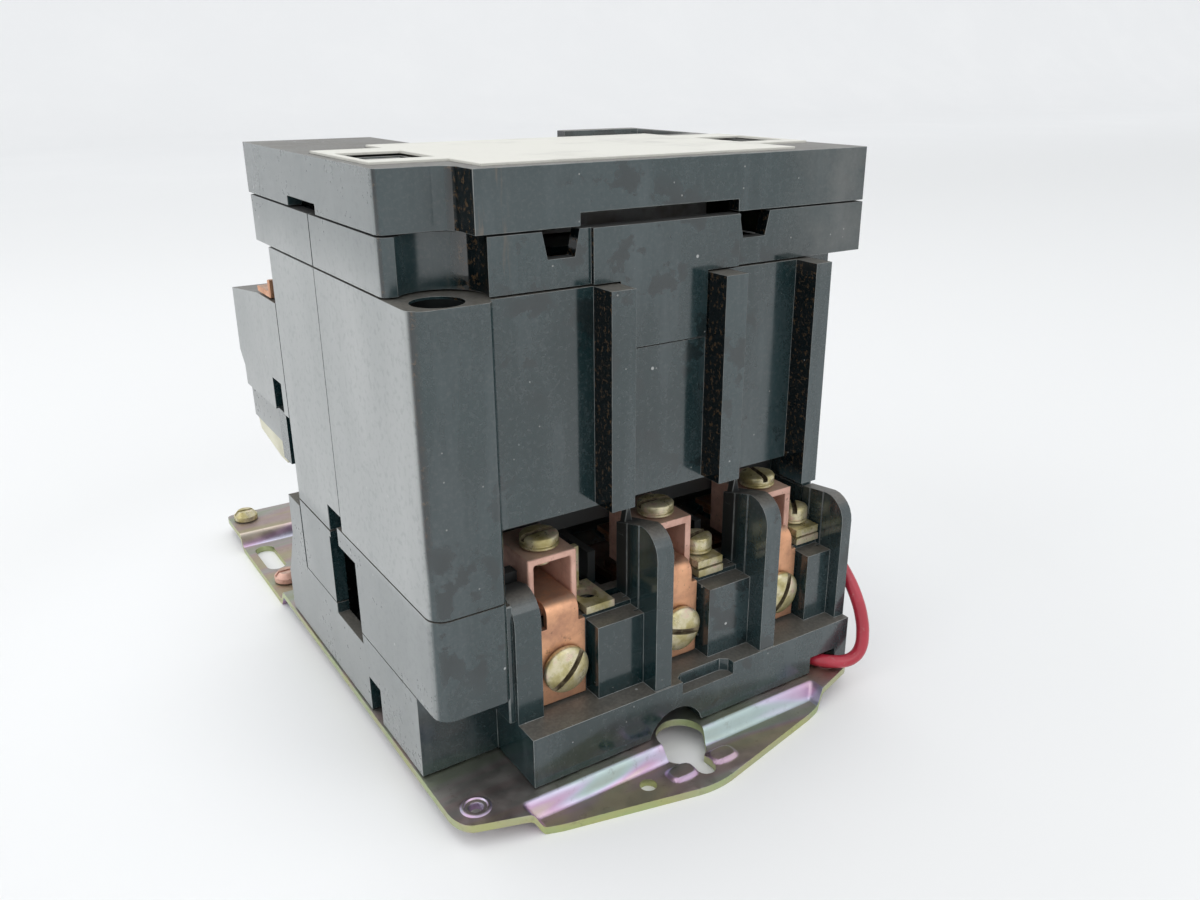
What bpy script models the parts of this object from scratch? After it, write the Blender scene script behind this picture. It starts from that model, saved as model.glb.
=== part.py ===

"""Three-pole panel contactor on a formed steel base plate, modelled piece by piece.

World frame: origin at the centre of the bounding box's foot, +X to the right along the
terminal face, +Y to the rear, +Z out of the mounting panel. Sizes are in millimetres and
are turned into metres when a mesh is made.
"""

import math

import bmesh
import bpy
from mathutils import Vector

MM = 0.001
GAP = 0.3

# Body: overall sizes that everything else follows.
BODY_WIDTH = 90.0
RIGHT = BODY_WIDTH / 2
LEFT = -RIGHT
BODY_MIDDLE_Y = -24.1
BODY_OFFSET_X = -1.855

# Distances of the front faces from the body's middle plane; the rear mirrors them.
SIDE_REACH = 29.8
PANEL_REACH = 37.7
COVER_REACH = 37.4
COLUMN_REACH = 39.6
RIB_REACH = 42.9
SHELF_REACH = 43.5

# Heights above the mounting panel.
PLATE_THICKNESS = 1.5
PLATE_STEP = 3.0
BASE_FOOT = PLATE_THICKNESS + PLATE_STEP + GAP
SHELF_TOP = 14.7
BASE_TOP = 21.0
FRAME_FOOT = BASE_TOP + GAP
FRAME_TOP_FRONT = 39.8
FRAME_TOP_REAR = 37.2
MID_TOP = 89.6
UPPER_FOOT = MID_TOP + GAP
UPPER_TOP = 98.6
COVER_FOOT = UPPER_TOP + GAP
COVER_TOP = 108.2
RECESS_TOP = 52.2
RECESS_ROOF = 54.5
WALL = 2.5

# Side seam between the two middle housings.
SEAM_Y = -22.3

# Side faces of the rear half stop short of a true mirror of the front.
MID_REAR_Y = 4.2

# Poles.
POLE_PITCH = 25.25
MIDDLE_POLE_X = 5.55
POLES = [MIDDLE_POLE_X + POLE_PITCH * place for place in (-1, 0, 1)]

# Corner screw column.
COLUMN_RIGHT = -31.6
COLUMN_HOLE_X = -38.7
COLUMN_HOLE_Y = -58.9

# Mechanism.
TRAVEL = 6.0
CORE_HALF_WIDTH = 25.0
CORE_HALF_DEPTH = 10.0
CORE_FACE_Z = 67.0
AIR_GAP = TRAVEL + GAP
ARMATURE_FACE_Z = CORE_FACE_Z - AIR_GAP
SPRING_OFFSET = 33.0
CARRIER_TOP = 43.5
SPRING_SEAT_Z = 63.0

COLOURS = {
    "dark_plastic": ((0.085, 0.10, 0.105), 0.45, 0.0),
    "insulating_plastic": ((0.05, 0.055, 0.055), 0.5, 0.0),
    "cream_plastic": ((0.72, 0.71, 0.58), 0.5, 0.0),
    "label_paper": ((0.80, 0.79, 0.73), 0.7, 0.0),
    "plated_steel": ((0.52, 0.50, 0.36), 0.3, 1.0),
    "core_steel": ((0.45, 0.45, 0.45), 0.4, 1.0),
    "zinc_steel": ((0.55, 0.54, 0.36), 0.3, 1.0),
    "copper": ((0.85, 0.52, 0.36), 0.38, 1.0),
    "lug_copper": ((0.74, 0.50, 0.40), 0.45, 1.0),
    "spring_steel": ((0.5, 0.5, 0.5), 0.3, 1.0),
    "winding": ((0.55, 0.25, 0.12), 0.45, 0.4),
    "red_insulation": ((0.45, 0.02, 0.04), 0.4, 0.0),
}


def clear_scene():
    for item in list(bpy.data.objects):
        bpy.data.objects.remove(item, do_unlink=True)


def material(name):
    """A Principled material with the named colour, roughness and metallic value."""
    found = bpy.data.materials.get(name)
    if found:
        return found
    made = bpy.data.materials.new(name)
    made.use_nodes = True
    shader = made.node_tree.nodes["Principled BSDF"]
    colour, roughness, metallic = COLOURS[name]
    shader.inputs["Base Color"].default_value = (*colour, 1.0)
    shader.inputs["Roughness"].default_value = roughness
    shader.inputs["Metallic"].default_value = metallic
    return made


# Shapes are (points, faces) in millimetres.


def prism(outline, low, high, axis="Z"):
    """An outline carried along an axis. It is (x, y) for Z, (y, z) for X and (x, z) for Y."""

    def placed(pair, along):
        if axis == "Z":
            return (pair[0], pair[1], along)
        if axis == "X":
            return (along, pair[0], pair[1])
        return (pair[0], along, pair[1])

    count = len(outline)
    points = [placed(pair, low) for pair in outline] + [placed(pair, high) for pair in outline]
    faces = [tuple(range(count)), tuple(range(count, 2 * count))]
    for index in range(count):
        following = (index + 1) % count
        faces.append((index, following, count + following, count + index))
    return points, faces


def block(x0, x1, y0, y1, z0, z1):
    return prism([(x0, y0), (x1, y0), (x1, y1), (x0, y1)], z0, z1)


def arc(centre, radius, start, end, steps):
    """Points of an arc from start to end, in degrees."""
    turned = []
    for step in range(steps + 1):
        angle = math.radians(start + (end - start) * step / steps)
        turned.append((centre[0] + radius * math.cos(angle), centre[1] + radius * math.sin(angle)))
    return turned


def rod(centre, radius, low, high, axis="Z", sides=20):
    """A round bar; centre is (x, y) for Z, (y, z) for X and (x, z) for Y."""
    return prism(arc(centre, radius, 0, 360 - 360 / sides, sides - 1), low, high, axis)


def cone_frustum(centre, low_radius, high_radius, low, high, sides=20):
    """A round bar along Z whose radius changes evenly."""
    rings = [(low_radius, low), (high_radius, high)]
    points = []
    for radius, z in rings:
        points += [(x, y, z) for x, y in arc(centre, radius, 0, 360 - 360 / sides, sides - 1)]
    faces = [tuple(range(sides)), tuple(range(sides, 2 * sides))]
    for index in range(sides):
        following = (index + 1) % sides
        faces.append((index, following, sides + following, sides + index))
    return points, faces


def front(reach):
    """World Y of a front face at that distance from the body's middle plane."""
    return BODY_MIDDLE_Y - reach


def rear(reach):
    """World Y of a rear face at that distance from the body's middle plane."""
    return BODY_MIDDLE_Y + reach


def mesh_object(name, shapes, origin=(0, 0, 0)):
    """One mesh object holding the shapes, measured from origin."""
    data = bpy.data.meshes.new(name)
    shell = bmesh.new()
    for points, faces in shapes:
        made = [shell.verts.new((Vector(point) - Vector(origin)) * MM) for point in points]
        for face in faces:
            shell.faces.new([made[index] for index in face])
    bmesh.ops.recalc_face_normals(shell, faces=shell.faces)
    shell.to_mesh(data)
    shell.free()
    item = bpy.data.objects.new(name, data)
    item.location = [value * MM for value in origin]
    bpy.context.collection.objects.link(item)
    return item


def helper(name, shapes, origin):
    """A hidden object that only takes part in a Boolean."""
    item = mesh_object(name, shapes, origin)
    item.hide_render = True
    item.display_type = "WIRE"
    return item


def combine(item, tool, operation):
    change = item.modifiers.new(operation.title(), "BOOLEAN")
    change.operation = operation
    change.object = tool
    change.solver = "EXACT"
    change.use_self = True


def node(name, finish, body, add=(), cut=(), late_add=(), origin=(0, 0, 0)):
    """A named sub-part: body, joined with add, less cut, then joined with late_add."""
    item = mesh_object(name, [body], origin)
    for suffix, shapes, operation in (
        ("added", add, "UNION"),
        ("cut", cut, "DIFFERENCE"),
        ("late", late_add, "UNION"),
    ):
        if shapes:
            tool = helper(f"{name}.{suffix}", shapes, origin)
            tool.parent = FRAME
            combine(item, tool, operation)
    item.data.materials.append(material(finish))
    item.parent = FRAME
    return item


def smooth(item):
    item.data.shade_smooth()
    item.data.set_sharp_from_angle(angle=math.radians(35))
    return item


clear_scene()
FRAME = bpy.data.objects.new("contactor_frame", None)
FRAME.location = (BODY_OFFSET_X * MM, 0, 0)
bpy.context.collection.objects.link(FRAME)


# Mounting plate: raised bed, low front tongue with the keyhole, low rear floor, raised rear strip.
PLATE_LEFT = -45.3
PLATE_RIGHT = 45.3
PLATE_MIDDLE_X = 0.5
PLATE_FRONT = -80.7
PLATE_REAR = 80.7
TONGUE_FOLD_Y = -69.3
FLOOR_FOLD_Y = 27.5
STRIP_FOLD_Y = 64.0
SLOPE = 3.1
KEYHOLE_Y = -69.1
KEYHOLE_RADIUS = 4.8
KEYHOLE_SLOT_HALF = 1.9
REAR_SLOT_Y = 54.5
REAR_SLOT_HALF = 5.2
REAR_SLOT_RADIUS = 2.4


def sheet_profile():
    """The bent sheet seen along X, from the front tip to the rear edge."""
    h = PLATE_STEP
    line = [
        (PLATE_FRONT, 0),
        (TONGUE_FOLD_Y - SLOPE, 0),
        (TONGUE_FOLD_Y, h),
        (FLOOR_FOLD_Y, h),
        (FLOOR_FOLD_Y + SLOPE, 0),
        (STRIP_FOLD_Y, 0),
        (STRIP_FOLD_Y + SLOPE, h),
        (PLATE_REAR, h),
    ]
    return line + [(y, z + PLATE_THICKNESS) for y, z in reversed(line)]


def slot_outline(x, y, radius, half_length):
    """A round-ended slot that runs along Y."""
    upper = arc((x, y + half_length), radius, 0, 180, 8)
    lower = arc((x, y - half_length), radius, 180, 360, 8)
    return upper + lower


def mounting_plate():
    t = PLATE_THICKNESS
    h = PLATE_STEP
    inset = 0.05
    wing_x = 32.9
    added = []
    cuts = []
    for sign in (-1, 1):
        wing = [
            (sign * PLATE_RIGHT, -66.0),
            (sign * PLATE_RIGHT, -67.6),
            (sign * (PLATE_RIGHT - 1.6), TONGUE_FOLD_Y),
            (sign * (wing_x + 1.0), -72.5),
            (sign * wing_x, -72.5),
            (sign * wing_x, -66.0),
        ]
        added.append(prism(wing, h + inset, h + t - inset))
        corner = [
            (sign * (PLATE_RIGHT + 1), TONGUE_FOLD_Y + 1.6),
            (sign * (PLATE_RIGHT + 1), PLATE_FRONT - 1),
            (sign * (PLATE_RIGHT - 40.5), PLATE_FRONT - 1),
            (sign * 2.2, PLATE_FRONT + 0.1),
            (sign * (wing_x - SLOPE), -74.3),
            (sign * (wing_x - SLOPE + 1.3), TONGUE_FOLD_Y - SLOPE - 0.4),
            (sign * (wing_x - SLOPE + 1.3), TONGUE_FOLD_Y + 1.6),
        ]
        cuts.append(prism(corner, -1, 6))
    key = arc((PLATE_MIDDLE_X + 0.4, -76.2), KEYHOLE_SLOT_HALF, 180, 360, 8)
    key = [(PLATE_MIDDLE_X - KEYHOLE_SLOT_HALF, KEYHOLE_Y)] + key
    key.append((PLATE_MIDDLE_X + KEYHOLE_SLOT_HALF, KEYHOLE_Y))
    holes = [
        rod((PLATE_MIDDLE_X, KEYHOLE_Y), KEYHOLE_RADIUS, -1, 6, sides=28),
        prism(key, -1.2, 6.2),
        rod((-10.8, -74.4), 1.6, -1, 6, sides=16),
        rod((-40.6, -65.8), 1.4, -1, 6, sides=16),
        rod((40.6, -65.8), 1.4, -1, 6, sides=16),
    ]
    for x in (-41.0, 41.0):
        holes.append(prism(slot_outline(x, REAR_SLOT_Y, REAR_SLOT_RADIUS, REAR_SLOT_HALF), -1, 3))
    for x in (SCREW_X_LEFT, SCREW_X_RIGHT):
        holes.append(rod((x, STRIP_SCREW_Y), 1.8, -1, 6, sides=16))
    holes.append(rod((GROUND_SCREW_X, GROUND_SCREW_Y), 1.8, -1, 6, sides=16))
    body = prism(sheet_profile(), PLATE_LEFT, PLATE_RIGHT, "X")
    item = node("mounting_plate", "plated_steel", body, (), cuts, added)
    tool = helper("mounting_plate.holes", holes, (0, 0, 0))
    tool.parent = FRAME
    combine(item, tool, "DIFFERENCE")
    return item


SCREW_X_LEFT = -41.2
SCREW_X_RIGHT = 41.2
STRIP_SCREW_Y = 75.8
GROUND_SCREW_X = -41.0
GROUND_SCREW_Y = 39.5


# Base housing: tray, ledges, barrier fins, strap walls and blocks beside the straps.
FIN_TOP = 46.2
STRAP_WALL_TOP = 30.2
STRAP_REACH = 36.5
STRAP_THICKNESS = 1.3
TERMINAL_BLOCK_TOP = 29.3
TERMINAL_BLOCK_REACH = 39.2
FINS = [(-30.1, -25.0), (-4.3, -0.7), (20.9, 24.5), (42.4, RIGHT)]
BLOCKS = [(-14.1, -4.2), (11.0, 21.0), (36.3, 42.5)]
FIN_REACH = [38.3, 43.2, 43.2, 41.9]
FIN_HEIGHT = [38.8, FIN_TOP, FIN_TOP, 41.2]
FIN_DROP = [0.8, 2.1, 2.1, 0.8]


def fin_profile(outer_y, inner_y, top, drop, corner):
    """Barrier fin seen along X, with its outer top corner rounded."""
    if outer_y < inner_y:
        bend = arc((outer_y + corner, top - corner), corner, 180, 90, 6)
        return [(outer_y, SHELF_TOP - 0.1)] + bend + [(inner_y, top - drop), (inner_y, SHELF_TOP - 0.1)]
    bend = arc((outer_y - corner, top - corner), corner, 0, 90, 6)
    return [(outer_y, SHELF_TOP - 0.1)] + bend + [(inner_y, top - drop), (inner_y, SHELF_TOP - 0.1)]


def terminal_shapes(side):
    """Ledge, strap wall, fins and blocks of one face; side is front or rear."""
    inner = side(SIDE_REACH + 0.4)
    shapes = []
    low, high = sorted((side(SHELF_REACH), side(SIDE_REACH - 1)))
    ledge_left = -30.1 if side is front else LEFT
    shapes.append(block(ledge_left, RIGHT, low, high, BASE_FOOT, SHELF_TOP))
    low, high = sorted((side(STRAP_REACH - STRAP_THICKNESS - GAP), side(31.6)))
    shapes.append(block(-30.0, RIGHT - 0.1, low, high, SHELF_TOP - 0.2, STRAP_WALL_TOP))
    for (x0, x1), reach, top, drop in zip(FINS, FIN_REACH, FIN_HEIGHT, FIN_DROP):
        shapes.append(prism(fin_profile(side(reach), inner, top, drop, 5.0), x0, x1, "X"))
    low, high = sorted((side(TERMINAL_BLOCK_REACH), side(34.5)))
    for x0, x1 in BLOCKS:
        shapes.append(block(x0, x1, low, high, SHELF_TOP - 0.1, TERMINAL_BLOCK_TOP))
    return shapes


def base_housing():
    body = block(LEFT, RIGHT, front(SIDE_REACH), rear(SIDE_REACH), BASE_FOOT, BASE_TOP)
    inside = SIDE_REACH - WALL
    lip = [(1.8, -69.0), (1.8, -66.0), (3.2, -65.0), (12.6, -65.0), (14.0, -66.0), (14.0, -69.0)]
    cuts = [
        block(LEFT + WALL, RIGHT - WALL, front(inside), rear(inside), BASE_FOOT + 3, BASE_TOP + 1),
        block(LEFT - 1, LEFT + WALL + 0.5, -28.2, -14.1, 18.8, BASE_TOP + 1),
        block(LEFT - 1, LEFT + WALL + 0.5, -35.3, -29.7, BASE_FOOT - 1, 12.3),
        prism(lip, SHELF_TOP - 2.6, SHELF_TOP + 0.05),
        prism(arc((PLATE_MIDDLE_X, BASE_FOOT - 1.5), 6.2, 0, 180, 12), -69.0, -61.5, "Y"),
        block(34.8, 41.8, -69.0, -60.5, BASE_FOOT - 1, 8.4),
    ]
    for x in POLES:
        cuts.append(rod((x, STRAP_SCREW_Z), 2.5, front(37), front(SIDE_REACH + 0.3), "Y", 16))
    rear_cheek = [(5.0, SHELF_TOP - 0.1), (19.0, SHELF_TOP - 0.1), (13.2, 26.0), (12.7, 35.4), (5.0, 35.4)]
    added = terminal_shapes(front) + terminal_shapes(rear)
    added += [prism(rear_cheek, LEFT, LEFT + WALL, "X"), block(LEFT, LEFT + WALL, 3.2, 7.0, 12.0, BASE_TOP)]
    return node("base_housing", "dark_plastic", body, added, cuts)


STRAP_SCREW_Z = 22.0


# Contact frame: the ring between base and middle housings, with the foot of the corner column.


def column_outline(y_back):
    """Plan of the corner column, rounded on its two outer edges."""
    y_front = front(COLUMN_REACH)
    outer = arc((LEFT + 3, y_front + 3), 3, 180, 270, 5)
    inner = arc((COLUMN_RIGHT - 1.5, y_front + 1.5), 1.5, 270, 360, 3)
    return [(LEFT, y_back)] + outer + inner + [(COLUMN_RIGHT, y_back)]


def contact_frame():
    y0 = front(SIDE_REACH)
    y1 = MID_REAR_Y
    body = block(LEFT, RIGHT, y0, y1, FRAME_FOOT, FRAME_TOP_REAR)
    added = [
        block(LEFT, RIGHT, y0, SEAM_Y + 4, FRAME_TOP_REAR - 0.5, FRAME_TOP_FRONT),
        prism(column_outline(y0 + 1), FRAME_FOOT, FRAME_TOP_FRONT),
    ]
    inner_front = y0 + WALL
    inner_rear = y1 - WALL
    cuts = [
        block(LEFT + WALL, RIGHT - WALL, inner_front, inner_rear, FRAME_FOOT - 1, 41),
        block(LEFT - 1, LEFT + WALL + 0.5, -28.2, -14.1, FRAME_FOOT - 1, 36.0),
        block(LEFT - 1, LEFT + WALL + 0.5, -19.4, -14.9, 35.5, 41),
        rod((COLUMN_HOLE_X, COLUMN_HOLE_Y), 2.3, 24.5, 41, sides=16),
        block(-24.9, RIGHT - WALL, y0 - 1, inner_front + 0.2, TAP_LOW - GAP, 41),
        block(-25.0, RIGHT - WALL, inner_rear - 0.2, y1 + 1, LUG_LOW - GAP, 41),
        rod((-44.0, 33.0), 1.8, RIGHT - 4, RIGHT + 1, "X", 14),
    ]
    barriers = []
    for x in (MIDDLE_POLE_X - POLE_PITCH / 2, MIDDLE_POLE_X + POLE_PITCH / 2):
        for side, wall in ((front, inner_front - 0.5), (rear, inner_rear + 0.5)):
            near, far = sorted((side(8.0), wall))
            barriers.append(block(x - 0.8, x + 0.8, near, far, FRAME_FOOT + 0.1, TAP_LOW - 0.4))
            near, far = sorted((side(8.0), side(25.9)))
            barriers.append(block(x - 0.8, x + 0.8, near, far, FRAME_FOOT + 0.1, 37.0))
    return node("contact_frame", "dark_plastic", body, added, cuts, barriers)


# Middle housings: the tall front and rear shells that meet at the side seam.
RIBS = [(-13.6, -9.0, 52.8), (9.0, 13.6, 52.8), (29.2, 32.8, 48.2)]
PANEL_RIGHT = 32.8
INNER_WALL_REACH = 18.0
INNER_WALL_FACE = 20.0
CAVITY_REACH = 22.1


def mid_housing_front():
    y_side = front(SIDE_REACH)
    y_panel = front(PANEL_REACH)
    y_join = SEAM_Y - GAP / 2
    foot = FRAME_TOP_FRONT + GAP
    left_wall = LEFT + WALL
    right_wall = RIGHT - WALL
    top = MID_TOP + 1
    outline = [(LEFT, y_join)] + column_outline(y_panel)[1:-1]
    outline += [(COLUMN_RIGHT, y_panel), (PANEL_RIGHT, y_panel), (PANEL_RIGHT, y_side)]
    outline += [(RIGHT, y_side), (RIGHT, y_join)]
    cuts = [
        block(left_wall, right_wall, front(INNER_WALL_REACH), y_join + 5, foot - 1, RECESS_ROOF + 0.5),
        block(left_wall, right_wall, front(CAVITY_REACH), y_join + 5, RECESS_ROOF, top),
        block(-30.0, PANEL_RIGHT - 2, y_panel + 2.8, front(CAVITY_REACH) + 1, RECESS_ROOF, top),
        block(COLUMN_RIGHT + 0.3, right_wall, y_panel - 9, front(INNER_WALL_FACE), foot - 1, RECESS_TOP),
        block(LEFT - 1, left_wall + 0.5, SEAM_Y - 0.1, -14.9, foot - 1, 43.0),
        rod((COLUMN_HOLE_X, COLUMN_HOLE_Y), 4.1, 46, top, sides=28),
        rod((COLUMN_HOLE_X, COLUMN_HOLE_Y), 2.3, foot - 1, 47, sides=16),
        block(-9.1, 9.1, y_panel - 1, y_panel + 1.4, TONGUE_LOW - GAP, top),
    ]
    ribs = []
    for x0, x1, low in RIBS:
        ribs.append(block(x0, x1, front(RIB_REACH), y_panel + 1.0, low, MID_TOP))
    return node("mid_housing_front", "dark_plastic", prism(outline, foot, MID_TOP), (), cuts, ribs)


def mid_housing_rear():
    y_side = MID_REAR_Y
    y_panel = rear(PANEL_REACH)
    y_join = SEAM_Y + GAP / 2
    foot = FRAME_TOP_REAR + GAP
    left_wall = LEFT + WALL
    right_wall = RIGHT - WALL
    top = MID_TOP + 1
    outline = [(LEFT, y_join), (LEFT, y_side), (COLUMN_RIGHT, y_side), (COLUMN_RIGHT, y_panel)]
    outline += [(PANEL_RIGHT, y_panel), (PANEL_RIGHT, y_side), (RIGHT, y_side), (RIGHT, y_join)]
    cuts = [
        block(left_wall, right_wall, y_join - 5, rear(INNER_WALL_REACH), foot - 1, RECESS_ROOF + 0.5),
        block(left_wall, right_wall, y_join - 5, rear(CAVITY_REACH), RECESS_ROOF, top),
        block(-30.0, PANEL_RIGHT - 2, rear(CAVITY_REACH) - 1, y_panel - 2.8, RECESS_ROOF, top),
        block(COLUMN_RIGHT + 0.3, right_wall, rear(INNER_WALL_FACE), y_panel + 9, foot - 1, RECESS_TOP),
        block(LEFT - 1, left_wall + 0.5, SEAM_Y - 0.3, -14.9, foot - 1, 43.0),
        block(LEFT - 1, RIGHT + 1, SEAM_Y - 1, SEAM_Y + 4.4, foot - 1, FRAME_TOP_FRONT + GAP),
        block(-42.0, -36.4, rear(INNER_WALL_REACH) - 1, y_side + 1, foot - 1, 50.5),
    ]
    ribs = []
    for x0, x1, low in RIBS:
        ribs.append(block(x0, x1, y_panel - 1.0, rear(RIB_REACH), low, MID_TOP))
    return node("mid_housing_rear", "dark_plastic", prism(outline, foot, MID_TOP), (), cuts, ribs)


# Upper housing and top cover share the stepped corner above the column.
CORNER_STEP_X = -33.3
CORNER_FILLET = 3.0
TONGUE_LOW = 78.7
TONGUE_REACH = 38.2


def stepped_outline(y_rear):
    """Plan of the cover: a rectangle with its front-left corner set back and filleted."""
    y_main = front(COVER_REACH)
    y_side = front(SIDE_REACH)
    centre = (CORNER_STEP_X - CORNER_FILLET, y_side - CORNER_FILLET)
    hollow = arc(centre, CORNER_FILLET, 90, 0, 5)
    outline = [(LEFT, y_rear)] + arc((LEFT + 1.5, y_side + 1.5), 1.5, 180, 270, 3)
    outline += hollow + [(CORNER_STEP_X, y_main), (RIGHT, y_main), (RIGHT, y_rear)]
    return outline


def upper_housing():
    y_main = front(COVER_REACH)
    y_rear = rear(COVER_REACH - 1.2)
    inner = COVER_REACH - WALL
    slots = []
    for top_left, top_right, inset in ((-22.6, -15.6, 1.1), (15.6, 22.8, 1.2)):
        outline = [(top_left, UPPER_TOP + 1), (top_left + inset, 94.4)]
        outline += [(top_right - inset, 94.4), (top_right, UPPER_TOP + 1)]
        slots.append(prism(outline, y_main - 1, y_main + WALL + 1, "Y"))
    cuts = slots + [
        block(LEFT + WALL, RIGHT - WALL, front(inner - 8), rear(inner - 2), UPPER_FOOT - 1, UPPER_TOP + 1),
        block(CORNER_STEP_X + 3, RIGHT - WALL, front(inner), 0, UPPER_FOOT - 1, UPPER_TOP + 1),
        rod((COLUMN_HOLE_X + 1.1, COLUMN_HOLE_Y + 0.4), 6.8, UPPER_FOOT - 1, UPPER_TOP + 1, sides=36),
        block(LEFT - 1, LEFT + 0.5, SEAM_Y - 0.2, SEAM_Y + 0.2, UPPER_FOOT - 1, UPPER_TOP + 1),
    ]
    y_tongue = front(TONGUE_REACH)
    tongue = [
        block(-8.8, 8.8, y_tongue, y_tongue + 1.5, TONGUE_LOW, UPPER_FOOT + 2),
        block(-13.8, 15.4, y_tongue, y_main + 0.5, UPPER_FOOT, UPPER_TOP),
    ]
    body = prism(stepped_outline(y_rear), UPPER_FOOT, UPPER_TOP)
    return node("upper_housing", "dark_plastic", body, (), cuts, tongue)


WINDOWS = [(-41.6, -30.9), (30.9, 41.6)]
WINDOW_Y = (-43.0, -29.5)
LABEL_THICKNESS = 0.4


def cross_outline(grow):
    """Plan of the label, grown outward by grow."""
    near = -58.4 - grow
    far = -12.9 + grow
    side_near = -47.8 - grow
    side_far = -21.4 + grow
    wide = 43.2 + grow
    narrow = 30.4 + grow
    return [
        (-wide, side_far), (-wide, side_near), (-narrow, side_near), (-narrow, near),
        (narrow, near), (narrow, side_near), (wide, side_near), (wide, side_far),
        (narrow, side_far), (narrow, far), (-narrow, far), (-narrow, side_far),
    ]


def top_cover():
    y_main = front(COVER_REACH)
    y_rear = rear(COVER_REACH)
    roof = COVER_TOP - 2.4
    notch = block(-19.5, 25.0, -9.5, y_rear + 1, 102.0, COVER_TOP + 3)
    cuts = [
        notch,
        block(LEFT + WALL, -22.0, -51.2, y_rear - WALL, COVER_FOOT - 1, roof),
        block(27.5, RIGHT - WALL, -58.9, y_rear - WALL, COVER_FOOT - 1, roof),
        block(-30.5, 28.0, -58.9, -12.1, COVER_FOOT - 1, roof),
        block(-22.5, 28.0, -12.5, y_rear - WALL, COVER_FOOT - 1, 100.0),
        block(-15.6, 15.6, y_main - 1, y_main + WALL + 1, COVER_FOOT - 1, 100.9),
        block(LEFT - 1, LEFT + WALL + 1, -26.5, -11.8, COVER_FOOT - 1, 100.6),
        prism(cross_outline(GAP), COVER_TOP - LABEL_THICKNESS, COVER_TOP + 1),
    ]
    for x0, x1 in WINDOWS:
        cuts.append(block(x0, x1, WINDOW_Y[0], WINDOW_Y[1], COVER_TOP - 1.7, COVER_TOP + 1))
    lip = [block(11.2, 29.0, -12.3, -9.5, COVER_TOP - 0.5, COVER_TOP + 1.4)]
    body = prism(stepped_outline(y_rear), COVER_FOOT, COVER_TOP)
    return node("top_cover", "dark_plastic", body, (), cuts, lip)


def label_plate():
    low = COVER_TOP - LABEL_THICKNESS + 0.02
    cuts = []
    for x0, x1 in WINDOWS:
        cuts.append(block(x0 - 0.3, x1 + 0.3, WINDOW_Y[0] - 0.3, WINDOW_Y[1] + 0.3, low - 1, low + 2))
    return node("label_plate", "label_paper", prism(cross_outline(0), low + GAP, low + 0.75), (), cuts)


# Magnet: fixed E core above, moving E armature below, coil round the middle leg.
CENTRE_LEG_HALF = 6.0
OUTER_LEG = 8.0


def e_outline(yoke_low, yoke_high, leg_end):
    """An E lying on its back, seen along Y; legs end at leg_end."""
    middle = MIDDLE_POLE_X
    half = CORE_HALF_WIDTH
    inner = half - OUTER_LEG
    far = yoke_high if leg_end < yoke_low else yoke_low
    near = yoke_low if leg_end < yoke_low else yoke_high
    return [
        (middle - half, far), (middle - half, leg_end), (middle - inner, leg_end),
        (middle - inner, near), (middle - CENTRE_LEG_HALF, near),
        (middle - CENTRE_LEG_HALF, leg_end), (middle + CENTRE_LEG_HALF, leg_end),
        (middle + CENTRE_LEG_HALF, near), (middle + inner, near), (middle + inner, leg_end),
        (middle + half, leg_end), (middle + half, far),
    ]


def magnet_core():
    outline = e_outline(93.5, 99.0, CORE_FACE_Z)
    body = prism(outline, front(CORE_HALF_DEPTH), rear(CORE_HALF_DEPTH), "Y")
    return node("magnet_core", "core_steel", body)


def armature():
    outline = e_outline(46.0, 53.5, ARMATURE_FACE_Z)
    solid = prism(outline, front(CORE_HALF_DEPTH), rear(CORE_HALF_DEPTH), "Y")
    hole = rod((MIDDLE_POLE_X, 49.5), 2.1, front(12), rear(12), "Y", 16)
    return node("armature", "core_steel", solid, (), [hole])


BOBBIN_LOW = CORE_FACE_Z + 1.0
BOBBIN_HIGH = 93.0
BOBBIN_FLANGE = 1.4


def coil_bobbin():
    x = MIDDLE_POLE_X
    window = CORE_HALF_WIDTH - OUTER_LEG - GAP
    tube = (CENTRE_LEG_HALF + 1.6, CORE_HALF_DEPTH + 1.6)
    body = block(x - tube[0], x + tube[0], front(tube[1]), rear(tube[1]), BOBBIN_LOW, BOBBIN_HIGH)
    added = []
    for low in (BOBBIN_LOW, BOBBIN_HIGH - BOBBIN_FLANGE):
        added.append(block(x - window, x + window, front(20.5), rear(20.5), low, low + BOBBIN_FLANGE))
    hole = (CENTRE_LEG_HALF + GAP, CORE_HALF_DEPTH + GAP)
    cut = block(x - hole[0], x + hole[0], front(hole[1]), rear(hole[1]), BOBBIN_LOW - 1, BOBBIN_HIGH + 1)
    return node("coil_bobbin", "insulating_plastic", body, added, [cut])


def rounded_rectangle(x, half_width, half_depth, radius):
    corners = []
    for sign_x, sign_y, start in ((1, 1, 0), (-1, 1, 90), (-1, -1, 180), (1, -1, 270)):
        centre = (x + sign_x * (half_width - radius), BODY_MIDDLE_Y + sign_y * (half_depth - radius))
        corners += arc(centre, radius, start, start + 90, 4)
    return corners


def coil_winding():
    x = MIDDLE_POLE_X
    window = CORE_HALF_WIDTH - OUTER_LEG - 1.2
    low = BOBBIN_LOW + BOBBIN_FLANGE + GAP
    high = BOBBIN_HIGH - BOBBIN_FLANGE - GAP
    body = prism(rounded_rectangle(x, window, 19.6, 5.0), low, high)
    tube = (CENTRE_LEG_HALF + 1.9, CORE_HALF_DEPTH + 1.9)
    cut = block(x - tube[0], x + tube[0], front(tube[1]), rear(tube[1]), low - 1, high + 1)
    return node("coil_winding", "winding", body, (), [cut])


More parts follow.
